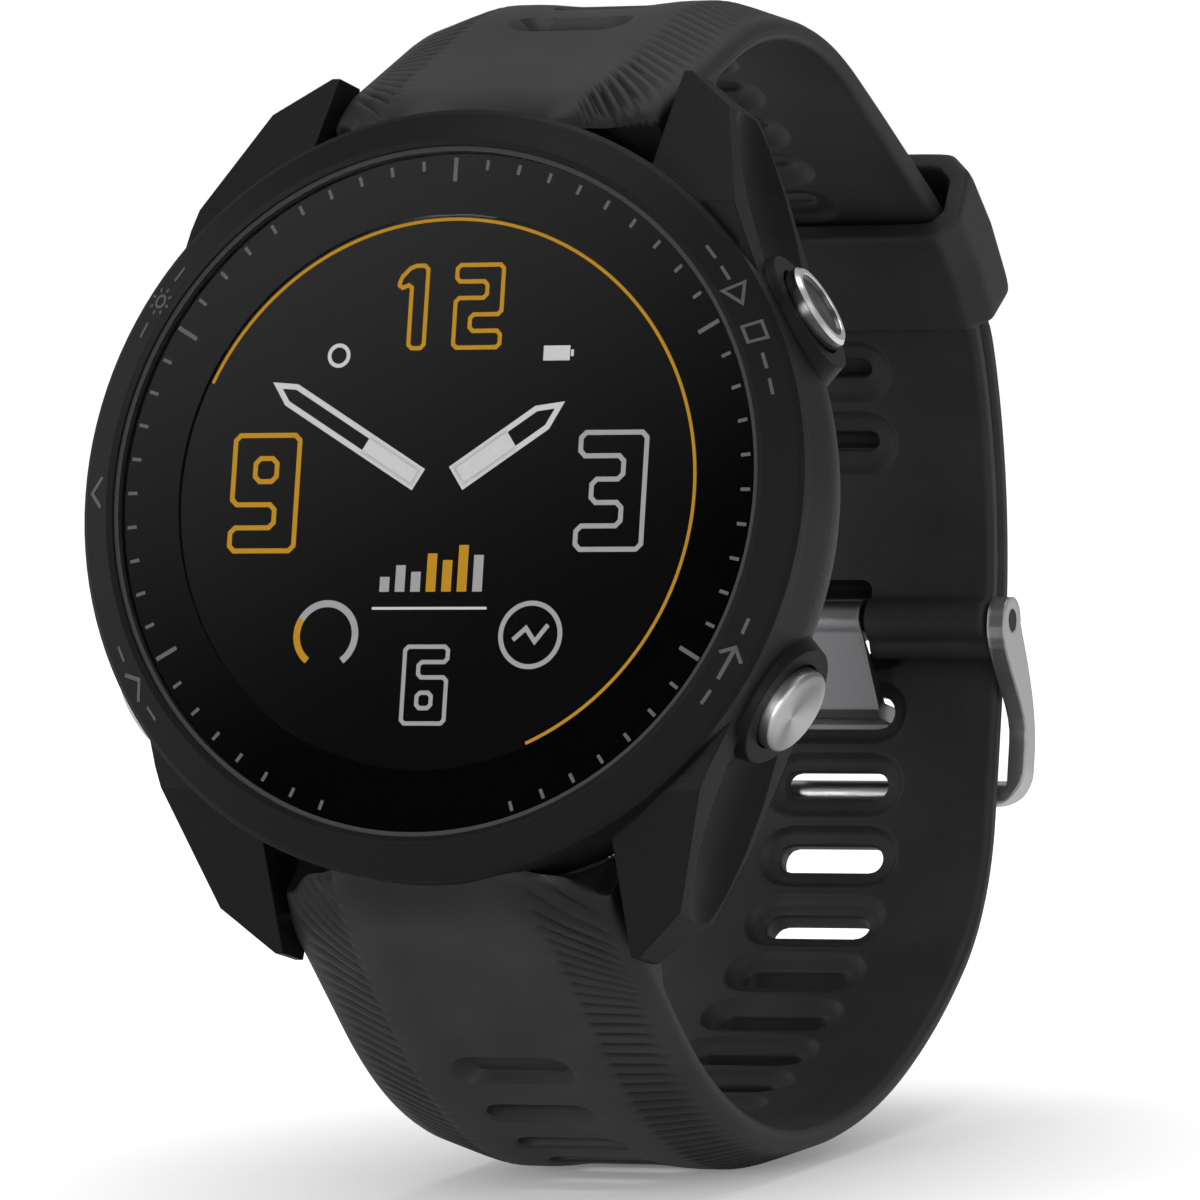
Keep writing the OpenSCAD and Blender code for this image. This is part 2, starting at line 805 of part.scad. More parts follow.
module start_cap() {
    r = cap_d / 2;
    color([0.3, 0.3, 0.32])
        cap_turning(start_angle, [
            [r, cap_reach - ring_h], [disc_r, cap_reach - ring_h], [disc_r, cap_reach - 0.5],
            [0, cap_reach - 0.5]
        ]);
}

module start_ring() {
    r = cap_d / 2;
    edge = 0.25;
    color([0.85, 0.85, 0.87])
        placed()
            at_button(start_angle)
                rotate_extrude()
                    polygon([
                        [disc_r, cap_reach - ring_h], [r, cap_reach - ring_h], [r, cap_reach - edge],
                        [r - edge, cap_reach], [disc_r + edge, cap_reach], [disc_r, cap_reach - 0.3]
                    ]);
}

module start_disc() {
    color([0.35, 0.35, 0.37])
        placed()
            at_button(start_angle)
                translate([0, 0, cap_reach - 0.5])
                    cylinder(r = disc_r, h = 0.25);
}

module start_clip() {
    clip(start_angle);
}

module back_cap() {
    color([0.75, 0.75, 0.76])
        dished_cap(back_angle);
}

module back_clip() {
    clip(back_angle);
}

module light_cap() {
    color([0.7, 0.7, 0.71])
        dished_cap(light_angle);
}

module light_clip() {
    clip(light_angle);
}

module up_cap() {
    color([0.7, 0.7, 0.71])
        dished_cap(up_angle);
}

module up_clip() {
    clip(up_angle);
}

module down_cap() {
    color([0.7, 0.7, 0.71])
        dished_cap(down_angle);
}

module down_clip() {
    clip(down_angle);
}

// A strap's body: one closed skin through the rings of its cross-section
module strap_skin(rings, flip) {
    n = len(rings[0]);
    last = len(rings) - 1;
    walls = [for (i = [0 : last - 1], j = [0 : n - 1]) let (k = (j + 1) % n)
        each [[i * n + j, i * n + k, (i + 1) * n + k], [i * n + j, (i + 1) * n + k, (i + 1) * n + j]]];
    caps = [[for (j = [n - 1 : -1 : 0]) j], [for (j = [0 : n - 1]) last * n + j]];
    faces = concat(walls, caps);
    polyhedron(
        points = [for (r = rings, p = r) p],
        faces = flip ? [for (f = faces) [for (j = [len(f) - 1 : -1 : 0]) f[j]]] : faces
    );
}

// A slot with round ends across the strap, with its length along x
module slot_shape(l, w) {
    square([l - w, w], center = true);
    for (x = [-1, 1])
        translate([x * (l - w) / 2, 0])
            circle(r = w / 2);
}

// A through slot at one place of a path, with its pocket on the inner face
module strap_slot(at, side) {
    translate([0, at[0], at[1]])
        rotate([at[2] + (side > 0 ? 0 : 180), 0, 0]) {
            translate([0, 0, -crest_t - 2])
                linear_extrude(height = crest_t + 4)
                    slot_shape(slot_l, slot_w);
            translate([0, 0, -pocket_cut])
                linear_extrude(height = pocket_cut + 2)
                    slot_shape(pocket_l, pocket_w);
        }
}

// The knuckle round a spring bar, filled up to the case and blended into the strap behind it
module knuckle(side) {
    at = [bar_depth, side * bar_height];
    crown_r = 1.1;
    crown = [bar_depth - crown_r, side * (back_edge_r + crown_r)];
    blend = path_at(side < 0 ? lower_at : upper_at, side < 0 ? lower_path : upper_path, root_l - 3);
    mid = [blend[0], blend[1]] + 0.5 * edge_t * outward(blend, -side);
    side_plate(strap_w)
        hull() {
            translate(at) circle(r = knuckle_r, $fn = 32);
            translate(crown) circle(r = crown_r, $fn = 32);
            translate(mid) circle(r = edge_t / 2 - 0.05, $fn = 32);
        }
}

lever_x = 4.5;
bar_gap = 0.02;
lever_reach = knuckle_r + 0.9;
release_travel = tip_l + 0.2;

// What a spring bar and its lever need cut from a strap
module bar_cuts(side) {
    at = [bar_depth, side * bar_height];
    cross_bar(at, bar_d / 2 + bar_gap, -strap_w, strap_w);
    lever_slot(at, 2 * lever_reach);
}

// The slot along a spring bar that its lever slides in
module lever_slot(at, h) {
    from = lever_x - lever_d / 2 - release_travel - fit_gap;
    to = lever_x + lever_d / 2 + fit_gap;
    translate([from, at[0], at[1] - lever_d / 2 - fit_gap])
        cube([to - from, h, lever_d + 2 * fit_gap]);
}

// What the case needs cut from a strap's end
module case_room() {
    case_side(strap_gap);
    block(0, 0, 2 * strap_w, 4 * lug_tip, -case_t, strap_front);
}

upper_slots = 11;
slot_lead = 5.5;
upper_first_slot = root_l + slot_lead;
lower_slots = 14;
tail_slots = 4;

module upper_strap() {
    notch = tongue_w + 3 * strap_gap;
    notch_h = 2 * (pin_sleeve_r + 4 * strap_gap);
    color([0.14, 0.14, 0.15])
        placed()
            difference() {
                union() {
                    strap_skin(upper_rings, true);
                    knuckle(1);
                    cross_bar(pin_at, pin_sleeve_r, -strap_w / 2, strap_w / 2);
                }
                case_room();
                bar_cuts(1);
                for (i = [0 : upper_slots - 1])
                    strap_slot(path_at(upper_at, upper_path, upper_first_slot + i * slot_pitch), -1);
                cross_bar(pin_at, pin_d / 2 + running_gap, -strap_w, strap_w);
                block(0, pin_at[1], notch, notch_h, pin_at[0] - notch_h, pin_at[0] + notch_h);
            }
}

module lower_strap() {
    color([0.14, 0.14, 0.15])
        placed()
            difference() {
                union() {
                    strap_skin(lower_rings, false);
                    knuckle(-1);
                }
                case_room();
                bar_cuts(-1);
                for (i = [-tail_slots : lower_slots - 1])
                    strap_slot(path_at(lower_at, lower_path, tongue_slot_s - i * slot_pitch), 1);
            }
}

// A spring bar: a tube with a fixed tip at one end and the release pin's bore at the other
module spring_bar(side) {
    at = [bar_depth, side * bar_height];
    half = strap_w / 2 - 0.1;
    color([0.65, 0.65, 0.67])
        placed()
            difference() {
                union() {
                    cross_bar(at, bar_d / 2, -half, half);
                    cross_bar(at, tip_d / 2, -strap_w / 2 - strap_gap - tip_l, 0);
                }
                cross_bar(at, tip_d / 2 + running_gap, lever_x - lever_d - release_travel - 1, strap_w);
                lever_slot(at, bar_d);
            }
}

module release_pin(side) {
    at = [bar_depth, side * bar_height];
    color([0.75, 0.75, 0.77])
        placed() {
            cross_bar(at, tip_d / 2, lever_x - lever_d / 2, strap_w / 2 + strap_gap + tip_l);
            translate([lever_x, at[0], at[1]])
                rotate([-90, 0, 0])
                    cylinder(d = lever_d, h = lever_reach);
        }
}

module upper_bar() {
    spring_bar(1);
}

module lower_bar() {
    spring_bar(-1);
}

module upper_release_pin() {
    release_pin(1);
}

module lower_release_pin() {
    release_pin(-1);
}

module buckle_pin() {
    color([0.7, 0.7, 0.72])
        placed()
            cross_bar(pin_at, pin_d / 2, -arm_inner - arm_t, arm_inner + arm_t);
}

// One buckle arm in the side view: round the pin, swept back past the strap's edge on an
// S-curve, and down to the far bar
module arm_outline() {
    steps = 16;
    bar_r = far_bar_d / 2;
    back_sweep = far_bar_at[0] + bar_r - pin_at[0] - arm_round;
    front_sweep = far_bar_at[0] - bar_r - pin_at[0] + arm_round;
    s_from = 0.05;
    s_to = 0.67;
    swing = 0.75;
    back = [for (i = [0 : steps]) let (u = i / steps)
        [pin_at[0] + arm_round + back_sweep * sin(90 * min(1, u / swing)), pin_at[1] - far_bar_drop * u]];
    front = [for (i = [steps : -1 : 0]) let (u = i / steps)
        [pin_at[0] - arm_round + front_sweep * fade(u, s_from, s_to), pin_at[1] - far_bar_drop * u]];
    polygon(concat(back, front));
    translate(pin_at) circle(r = arm_round);
    translate(far_bar_at) circle(r = bar_r);
}

// The buckle seen from behind: straight arms with rounded lower corners
module buckle_front() {
    half = arm_inner + arm_t;
    low = far_bar_at[1] - far_bar_d / 2;
    steps = 8;
    corner = [for (i = [0 : steps]) let (a = 90 * i / steps)
        [half - buckle_corner * (1 - cos(a)), low + buckle_corner * (1 - sin(a))]];
    left = [for (i = [steps : -1 : 0]) [-corner[i][0], corner[i][1]]];
    polygon(concat([[half, case_r]], corner, left, [[-half, case_r]]));
}

module buckle_frame() {
    color([0.72, 0.72, 0.74])
        placed()
            difference() {
                intersection() {
                    union() {
                        for (x = [-1, 1])
                            side_plate(arm_t, x * (arm_inner + arm_t / 2))
                                arm_outline();
                        cross_bar(far_bar_at, far_bar_d / 2, -arm_inner - arm_t / 2, arm_inner + arm_t / 2);
                    }
                    translate([0, 2 * far_bar_at[0], 0])
                        rotate([90, 0, 0])
                            linear_extrude(height = 2 * far_bar_at[0])
                                buckle_front();
                }
                cross_bar(pin_at, pin_d / 2 + running_gap, -strap_w, strap_w);
            }
}

// The tongue's side view: round the pin, sloping back to the strap, out through its slot and
// on towards the far bar
module buckle_tongue() {
    barrel_r = pin_d / 2 + running_gap + 0.6;
    plate_in = pin_at[0] - barrel_r;
    low = slot_height - tongue_t / 2;
    high = slot_height + tongue_t / 2;
    heel = 0.55;
    tip = far_bar_at[1] + far_bar_d / 2 + tongue_t;
    color([0.78, 0.78, 0.8])
        placed()
            difference() {
                union() {
                    cross_bar(pin_at, barrel_r, -tongue_w / 2, tongue_w / 2);
                    hull() {
                        side_plate(tongue_w)
                            polygon([
                                [plate_in, pin_at[1]], [plate_in + heel, pin_at[1] - pin_d],
                                [pin_at[0], pin_at[1] - pin_d]
                            ]);
                        side_plate(foot_w)
                            polygon([
                                [tongue_in - heel, low + heel], [tongue_in, low],
                                [tongue_in + heel, low], [tongue_in + heel, high], [tongue_in, high]
                            ]);
                    }
                    side_plate(foot_w)
                        polygon([
                            [tongue_in - heel, low + heel], [tongue_in, low],
                            [tongue_out, low], [tongue_out, tip], [tongue_out + tongue_t / 2, tip - 0.4],
                            [tongue_out + tongue_t, tip], [tongue_out + tongue_t, high - 0.5],
                            [tongue_out + tongue_t - 0.5, high], [tongue_in, high]
                        ]);
                }
                cross_bar(pin_at, pin_d / 2 + running_gap, -strap_w, strap_w);
            }
}

// The keeper is a loop bent to the strap: its cross-section, with chamfered corners, is
// carried round the strap's own bend
module keeper_loop() {
    half = strap_w / 2 + strap_gap;
    outer = half + keeper_t;
    low = keeper_in_r - keeper_t;
    high = keeper_out_r + keeper_t;
    bevel = 1.1;
    color([0.14, 0.14, 0.15])
        placed()
            translate([0, keeper_centre[0], keeper_centre[1]])
                rotate([90, 0, 90])
                    rotate([0, 0, keeper_middle - keeper_span / 2])
                        rotate_extrude(angle = keeper_span)
                            difference() {
                                polygon([
                                    [low, -outer + bevel], [low + bevel, -outer], [high - bevel, -outer],
                                    [high, -outer + bevel], [high, outer - bevel], [high - bevel, outer],
                                    [low + bevel, outer], [low, outer - bevel]
                                ]);
                                translate([keeper_in_r, -half])
                                    square([keeper_out_r - keeper_in_r, 2 * half]);
                            }
}

case_body();
bezel();
lens();
lens_gasket();
minute_ring();
display_panel();
backlight();
inner_chassis();
main_board();
shield_can();
battery();
vibration_motor();
beeper();
antenna_ring();
rear_cover();
rear_cover_seal();
rear_cover_screws();
sensor_window();
sensor_board();
sensor_emitters();
charging_port();
charging_contacts();
tactile_switches();
button_seals();
start_cap();
start_ring();
start_disc();
start_clip();
back_cap();
back_clip();
light_cap();
light_clip();
up_cap();
up_clip();
down_cap();
down_clip();
upper_strap();
lower_strap();
upper_bar();
lower_bar();
upper_release_pin();
lower_release_pin();
buckle_pin();
buckle_frame();
buckle_tongue();
keeper_loop();
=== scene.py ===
# %% [markdown]
# A running watch stands on its closed silicone strap. The hard parts come from the CAD model
# and keep their shapes. This script dresses them with procedural finishes, and works out the
# pieces that CAD leaves plain, the soft straps, the keeper, the marks under the glass and the
# screen, as surfaces in numpy.

# %% The frame
import math

import bpy
import numpy as np
from mathutils import Matrix, Vector


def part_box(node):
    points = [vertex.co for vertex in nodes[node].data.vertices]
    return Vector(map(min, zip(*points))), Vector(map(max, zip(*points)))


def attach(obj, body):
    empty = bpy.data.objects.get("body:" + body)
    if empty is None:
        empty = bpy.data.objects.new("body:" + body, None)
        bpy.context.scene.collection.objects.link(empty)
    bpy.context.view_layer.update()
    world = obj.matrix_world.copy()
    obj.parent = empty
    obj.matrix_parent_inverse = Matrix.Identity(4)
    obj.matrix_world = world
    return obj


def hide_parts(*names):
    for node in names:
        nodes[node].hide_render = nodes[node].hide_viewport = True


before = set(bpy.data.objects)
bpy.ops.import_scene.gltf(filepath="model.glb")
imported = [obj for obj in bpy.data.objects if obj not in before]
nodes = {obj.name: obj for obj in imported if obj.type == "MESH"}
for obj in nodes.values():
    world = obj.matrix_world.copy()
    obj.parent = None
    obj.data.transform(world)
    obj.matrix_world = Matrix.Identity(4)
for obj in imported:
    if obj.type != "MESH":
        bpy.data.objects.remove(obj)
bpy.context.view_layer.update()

# %% [markdown]
# The watch is easiest to describe in its own frame: x to 3 o'clock, y from the bezel front into
# the case, z to 12 o'clock, in millimetres. On the table it leans back, so one function turns
# that frame about x and shifts it. The shift is read from where the CAD glass is.

# %% From the watch's own frame to the table
LEAN = math.radians(14)
LENS_MIDDLE = 0.475


def box_centre(corners):
    """The middle of a box: the mean of its two corners."""
    low, high = (np.array(corner) for corner in corners)
    return (low + high) / 2


def leaned(p):
    """(x, y, z) turned by the lean about x: y' = y cos + z sin, z' = z cos - y sin."""
    p = np.asarray(p, float)
    x, y, z = p[..., 0], p[..., 1], p[..., 2]
    c, s = math.cos(LEAN), math.sin(LEAN)
    return np.stack([x, y * c + z * s, z * c - y * s], -1)


SHIFT = box_centre(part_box("lens")) - leaned([0, LENS_MIDDLE, 0]) / 1000


def place(p):
    """Watch coordinates in mm to the shared frame in metres."""
    return leaned(p) / 1000 + SHIFT


print("dial centre on the table:", place([0, 0, 0]).round(4))

# %% [markdown]
# Every new piece is an array of points and an array of faces. Blender's operators could shape it
# step by step, but a grid of rows and columns gives its quads by index arithmetic alone, and the
# sign of a closed shell's volume shows whether its faces point outwards.

# %% Meshes from arrays


def quads(rows, cols, closed=False):
    """Corner indices of a grid numbered row by row; a closed one joins its ends in both directions."""
    r = np.arange(rows - (not closed))[:, None]
    c = np.arange(cols - (not closed))[None, :]
    r2, c2 = (r + 1) % rows, (c + 1) % cols
    corners = [r * cols + c, r * cols + c2, r2 * cols + c2, r2 * cols + c]
    return np.stack(np.broadcast_arrays(*corners), -1).reshape(-1, 4)


def volume(points, faces):
    """Sum of the signed tetrahedra from the origin to each face's triangles."""
    a, b, c, d = points[faces].swapaxes(0, 1)
    return (np.cross(a, b) * c + np.cross(a, c) * d).sum() / 6


def piece(name, points, faces, body, finish, replaced=(), sharp=35, groove=None):
    """One object from watch points in mm, riding on a body, with smooth shading below an angle.
    The value per point given last is painted shade, kept as an attribute that a finish can read."""
    points = place(np.asarray(points, float).reshape(-1, 3))
    used, faces = np.unique(faces, return_inverse=True)
    points, faces = points[used], faces.reshape(-1, 4)
    if volume(points - points.mean(0), faces) < 0:
        faces = faces[:, ::-1]
    mesh = bpy.data.meshes.new(name)
    mesh.from_pydata(points.tolist(), [], faces.tolist())
    if groove is not None:
        mesh.attributes.new("groove", "FLOAT", "POINT").data.foreach_set("value", groove[used])
    mesh.polygons.foreach_set("use_smooth", np.ones(len(faces), bool))
    mesh.set_sharp_from_angle(angle=math.radians(sharp))
    mesh.materials.append(finishes[finish])
    obj = bpy.data.objects.new(name, mesh)
    bpy.context.scene.collection.objects.link(obj)
    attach(obj, body)
    if replaced:
        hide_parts(*replaced)
    print(f"{name}: {len(points)} points, {len(faces)} faces")


print("cells of a 3 by 4 grid:", len(quads(3, 4)))

# %% [markdown]
# A finish is a node tree around one Principled shader. Writing the maths of a pattern as Python
# expressions keeps it readable: a small class wraps a socket, and each operator on it adds the
# Math node that does the same.

# %% Shader maths
MIX_FACTOR, MIX_DARK, MIX_LIGHT, MIX_RESULT = 0, 6, 7, 2  # sockets of a Mix node set to colours
finishes = {}  # materials by name


class Wire:
    """A value socket that takes part in expressions."""

    def __init__(self, graph, socket):
        self.graph, self.socket = graph, socket

    def __add__(self, other):
        return self.graph.math("ADD", self, other)

    def __sub__(self, other):
        return self.graph.math("SUBTRACT", self, other)

    def __rsub__(self, other):
        return self.graph.math("SUBTRACT", other, self)

    def __mul__(self, other):
        return self.graph.math("MULTIPLY", self, other)

    __radd__, __rmul__ = __add__, __mul__


class Graph:
    """A node tree that grows by expressions."""

    def __init__(self, tree):
        self.tree = tree

    def feed(self, node, values):
        """Sets or links a node's inputs, which go by name or number."""
        for key, value in values.items():
            if isinstance(value, Wire):
                self.tree.links.new(value.socket, node.inputs[key])
            else:
                node.inputs[key].default_value = value

    def node(self, kind, settings=None, values=None, output=0):
        """Adds a node with its settings and inputs, and returns one of its outputs."""
        node = self.tree.nodes.new(kind)
        for key, value in (settings or {}).items():
            setattr(node, key, value)
        self.feed(node, values or {})
        return Wire(self, node.outputs[output])

    def math(self, operation, *values):
        """A Math node on wires and numbers."""
        return self.node("ShaderNodeMath", {"operation": operation}, dict(enumerate(values)))

    def vector(self, operation, *values, output=0):
        """A Vector Math node on wires and tuples."""
        return self.node("ShaderNodeVectorMath", {"operation": operation}, dict(enumerate(values)), output)

    def rays(self, shares):
        """The sum over kinds of ray of Light Path's 0 or 1, times that kind's share."""
        return sum(self.node("ShaderNodeLightPath", output=f"Is {kind} Ray") * share
                   for kind, share in shares.items())


class Finish(Graph):
    """A material with one Principled shader."""

    def __init__(self, name, colour, roughness, metallic=0.0, **constants):
        material = finishes[name] = bpy.data.materials.new(name)
        material.use_nodes = True
        super().__init__(material.node_tree)
        self.shader = self.tree.nodes["Principled BSDF"]
        self.surface(Base_Color=(*colour, 1), Roughness=roughness, Metallic=metallic, **constants)

    def surface(self, **values):
        """Feeds the shader's sockets, whose names have _ for a space here."""
        self.feed(self.shader, {key.replace("_", " "): value for key, value in values.items()})

    def spot(self):
        """Object coordinates, in metres."""
        return self.node("ShaderNodeTexCoord", output="Object")

    def noise(self, size_mm, detail=2.0, vector=None):
        """Noise from 0 to 1 with features of about that size."""
        values = {"Vector": vector or self.spot(), "Scale": 1000 / size_mm, "Detail": detail}
        return self.node("ShaderNodeTexNoise", {}, values)

    def tint(self, dark, light, factor):
        """A colour between two, by a value from 0 to 1, into Base Color."""
        values = {MIX_FACTOR: factor, MIX_DARK: (*dark, 1), MIX_LIGHT: (*light, 1)}
        self.surface(Base_Color=self.node("ShaderNodeMix", {"data_type": "RGBA"}, values, MIX_RESULT))

    def relief(self, height, depth_mm, edge_mm=0.0):
        """A Bump of that depth into Normal, over edges softened by a Bevel of that radius."""
        values = {"Height": height, "Distance": depth_mm / 1000, "Strength": 1.0}
        if edge_mm:
            values["Normal"] = self.node("ShaderNodeBevel", {"samples": 4}, {"Radius": edge_mm / 1000})
        self.surface(Normal=self.node("ShaderNodeBump", {}, values))


print("shader helpers ready")

# %% [markdown]
# Most of the watch is black, and what tells one black from another is how it scatters light.
# The silicone is dry and even, with a very fine skin and a few paler patches where it has been
# handled. The case is a fibre-filled polymer with a coarser spark-eroded grain, and the bezel
# is the same but smoother. One function with a table of numbers gives them all.

# %% Black finishes
PATCH_MM = 6.0
BLACKS = [  # dark and light, roughness, size and depth of the grain, edge radius, specular level
    ("silicone", (0.004, 0.004, 0.0041), (0.042, 0.042, 0.0428), 0.52, 0.16, 0.010, 0.0, 0.3),
    ("case_polymer", (0.006, 0.006, 0.0062), (0.009, 0.009, 0.0094), 0.46, 0.22, 0.018, 0.18, 0.11),
    ("bezel_polymer", (0.005, 0.005, 0.0052), (0.008, 0.008, 0.0084), 0.42, 0.20, 0.012, 0.12, 0.1),
    ("cover_polymer", (0.012, 0.012, 0.0125), (0.018, 0.018, 0.019), 0.50, 0.25, 0.015, 0.12, 0.5),
    ("seal_rubber", (0.008, 0.008, 0.008), (0.012, 0.012, 0.012), 0.60, 0.30, 0.010, 0.05, 0.5),
]


def moulded(name, dark, light, roughness, grain_mm, depth_mm, edge_mm, specular):
    """A moulded polymer: slow colour patches, fine grain in the relief, roughness with both, and
    painted shade: darker where the mesh carries a painted shade value, in grooves and under the bezel."""
    finish = Finish(name, dark, roughness, Specular_IOR_Level=specular)
    patches = finish.noise(PATCH_MM, 3.0)
    grain = finish.noise(grain_mm)
    groove = finish.node("ShaderNodeAttribute", {"attribute_name": "groove"}, output="Fac")
    # painted shade: the colour goes darker by the mesh's painted shade value
    finish.tint(dark, light, (patches * 0.7 + grain * 0.3) * (1.0 - groove))
    finish.surface(Roughness=roughness - 0.06 + patches * 0.07 + grain * 0.05)
    finish.relief(grain, depth_mm, edge_mm)


for row in BLACKS:
    moulded(*row)
print("black finishes:", len(BLACKS))

# %% [markdown]
# The buckle, the tongue and the buttons on the left are satin steel, brushed one way: long thin
# streaks in the roughness and in a shallow relief. The back button's cap and the start button's
# disc are sunrays instead, whose lines run from the centre, with two lobes of painted highlight in
# their colour. The start button's ring is plated, bright on its face alone. The distance from its
# axis tells where, so no mesh has to be cut.

# %% Metals
DRAWN_X, RUBBED_X, RUBBED_Z = (0.08, 1.0, 1.0), (0.1, 1.0, 1.0), (1.0, 1.0, 0.1)
START_TURN, BACK_TURN = 60, 120
RIM_INNER, RIM_OUTER = 2.1, 2.67
STEELS = [  # colour, roughness, scale of the streaks, edge radius
    ("satin_buckle", (0.60, 0.60, 0.61), 0.33, DRAWN_X, 0.3),
    ("satin_tongue", (0.27, 0.27, 0.28), 0.36, DRAWN_X, 0.2),
    ("satin_button", (0.62, 0.62, 0.63), 0.32, RUBBED_Z, 0.1),
    ("steel", (0.55, 0.55, 0.57), 0.30, RUBBED_X, 0.05),
    ("dark_steel", (0.22, 0.22, 0.23), 0.34, RUBBED_Z, 0.05),
    ("pin_steel", (0.04, 0.04, 0.042), 0.5, RUBBED_X, 0.05),
]


def brushed(name, colour, roughness, along, edge_mm):
    """Satin steel with streaks: noise squeezed across the brushing and drawn out along it."""
    finish = Finish(name, colour, roughness, 1.0)
    drawn = finish.node("ShaderNodeMapping", {}, {"Vector": finish.spot(), "Scale": along})
    streaks = finish.noise(0.12, 3.0, drawn)
    patches = finish.noise(3.0)
    finish.surface(Roughness=roughness - 0.08 + streaks * 0.12 + patches * 0.05)
    finish.tint([0.9 * c for c in colour], colour, streaks * 0.5 + patches * 0.5)
    finish.relief(streaks, 0.006, edge_mm)


def sunray(name, colour, centre, axis, roughness, rays):
    """Lines from a centre on a plane across an axis: noise on the angle about that axis, and two lobes of
    painted highlight in the colour.
    """
    finish = Finish(name, colour, roughness, 1.0)
    side = np.cross(axis, (0, 1, 0.3))
    side /= np.linalg.norm(side)
    arm = finish.vector("SUBTRACT", finish.spot(), tuple(centre))
    angle = finish.math("ARCTAN2", *(finish.vector("DOT_PRODUCT", arm, tuple(v), output="Value")
                                     for v in (side, np.cross(axis, side))))
    lines = finish.node("ShaderNodeTexNoise", {"noise_dimensions": "1D"}, {"W": angle * rays, "Detail": 2.0})
    # painted highlight: two bright lobes about the centre, fixed in the colour
    painted_highlight_lobes = finish.math("SINE", angle * 2.0 + 0.6)
    finish.tint([0.35 * c for c in colour], colour, painted_highlight_lobes * 0.35 + lines * 0.5 + 0.25)
    finish.surface(Roughness=roughness + lines * 0.1)
    finish.relief(lines, 0.004, 0.06)


def plated_rim(name, colour, dark, centre, axis):
    """A ring polished on its face and dark on its slope and its side: the colour changes at two
    distances from the axis."""
    finish = Finish(name, colour, 0.24, 1.0)
    arm = finish.vector("SUBTRACT", finish.spot(), tuple(centre))
    off_axis = finish.vector("LENGTH", finish.vector("CROSS_PRODUCT", arm, tuple(axis)), output="Value")
    past_slope = finish.math("GREATER_THAN", off_axis, RIM_INNER / 1000)
    finish.tint(dark, colour, past_slope * finish.math("LESS_THAN", off_axis, RIM_OUTER / 1000))
    fine = finish.noise(0.3)
    finish.surface(Roughness=0.2 + fine * 0.08)
    finish.relief(fine, 0.002, 0.06)


def button_axis(degrees):
    """The way out of the case at an angle from 12 o'clock."""
    turn = math.radians(degrees)
    return leaned([math.sin(turn), 0, math.cos(turn)])


for row in STEELS:
    brushed(*row)
start_at, start_axis = box_centre(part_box("start_disc")), button_axis(START_TURN)
back_at, back_axis = box_centre(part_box("back_cap")), button_axis(BACK_TURN)
plated_rim("chrome", (0.86, 0.86, 0.87), (0.10, 0.10, 0.105), start_at, start_axis)
sunray("sunray_disc", (0.16, 0.16, 0.165), start_at, start_axis, 0.36, 9.0)
sunray("back_satin", (0.62, 0.62, 0.63), back_at, back_axis, 0.30, 14.0)
print("metals:", len(STEELS) + 3)

# %% [markdown]
# The glass is clear and coated, so that light goes straight through, but for a smear of fingers.
# Below it lie a black printed ring and a dark screen, whose pixels make a very fine lattice. They
# are bonded to the glass, so the polish of the whole stack is written as their clear coat, which
# keeps reflections clean. The rest are for the sensor and for parts inside the closed case.

# %% Glass, screen and inner parts
BONDED = {"Specular_IOR_Level": 0.0, "Coat_Weight": 1.0, "Coat_Roughness": 0.0, "Coat_IOR": 1.45}
PIXEL_MM = 0.15


def plain_detail(name, colour, roughness, metallic, patch_mm, depth_mm, **constants):
    """A finish with patches of tone, roughness and shallow relief of one size."""
    finish = Finish(name, colour, roughness, metallic, **constants)
    patches = finish.noise(patch_mm, 3.0)
    finish.tint([0.75 * c for c in colour], colour, patches)
    finish.surface(Roughness=roughness - 0.05 + patches * 0.1)
    finish.relief(patches, depth_mm, 0.05)


glass = Finish("cover_glass", (0.01, 0.01, 0.01), 0.1, Alpha=0.01, Specular_IOR_Level=0.0)
glass.surface(Roughness=0.05 + glass.noise(7.0, 3.0) * 0.1)
plain_detail("sensor_glass", (0.006, 0.006, 0.007), 0.10, 0.0, 4.0, 0.001, Coat_Weight=0.6)
plain_detail("black_print", (0.0012, 0.0012, 0.0012), 0.45, 0.0, 1.5, 0.002, **BONDED)
panel = Finish("screen", (0.004, 0.004, 0.0045), 0.35, **BONDED)
cells = panel.node("ShaderNodeTexVoronoi", {"feature": "DISTANCE_TO_EDGE"},
                   {"Vector": panel.spot(), "Scale": 1000 / PIXEL_MM, "Randomness": 0.0})
border = panel.math("LESS_THAN", cells, 0.12)
panel.tint((0.0035, 0.0035, 0.004), (0.0030, 0.0030, 0.0034), border)
panel.surface(Roughness=0.3 + border * 0.05)
plain_detail("light_guide", (0.8, 0.82, 0.85), 0.25, 0.0, 1.0, 0.004)
plain_detail("circuit_board", (0.02, 0.10, 0.05), 0.40, 0.0, 0.6, 0.01)
plain_detail("tin_plate", (0.60, 0.60, 0.62), 0.35, 1.0, 1.2, 0.006)
plain_detail("brass", (0.60, 0.45, 0.20), 0.32, 1.0, 0.8, 0.004)
plain_detail("emitter", (0.40, 0.60, 0.30), 0.20, 0.0, 0.5, 0.002)

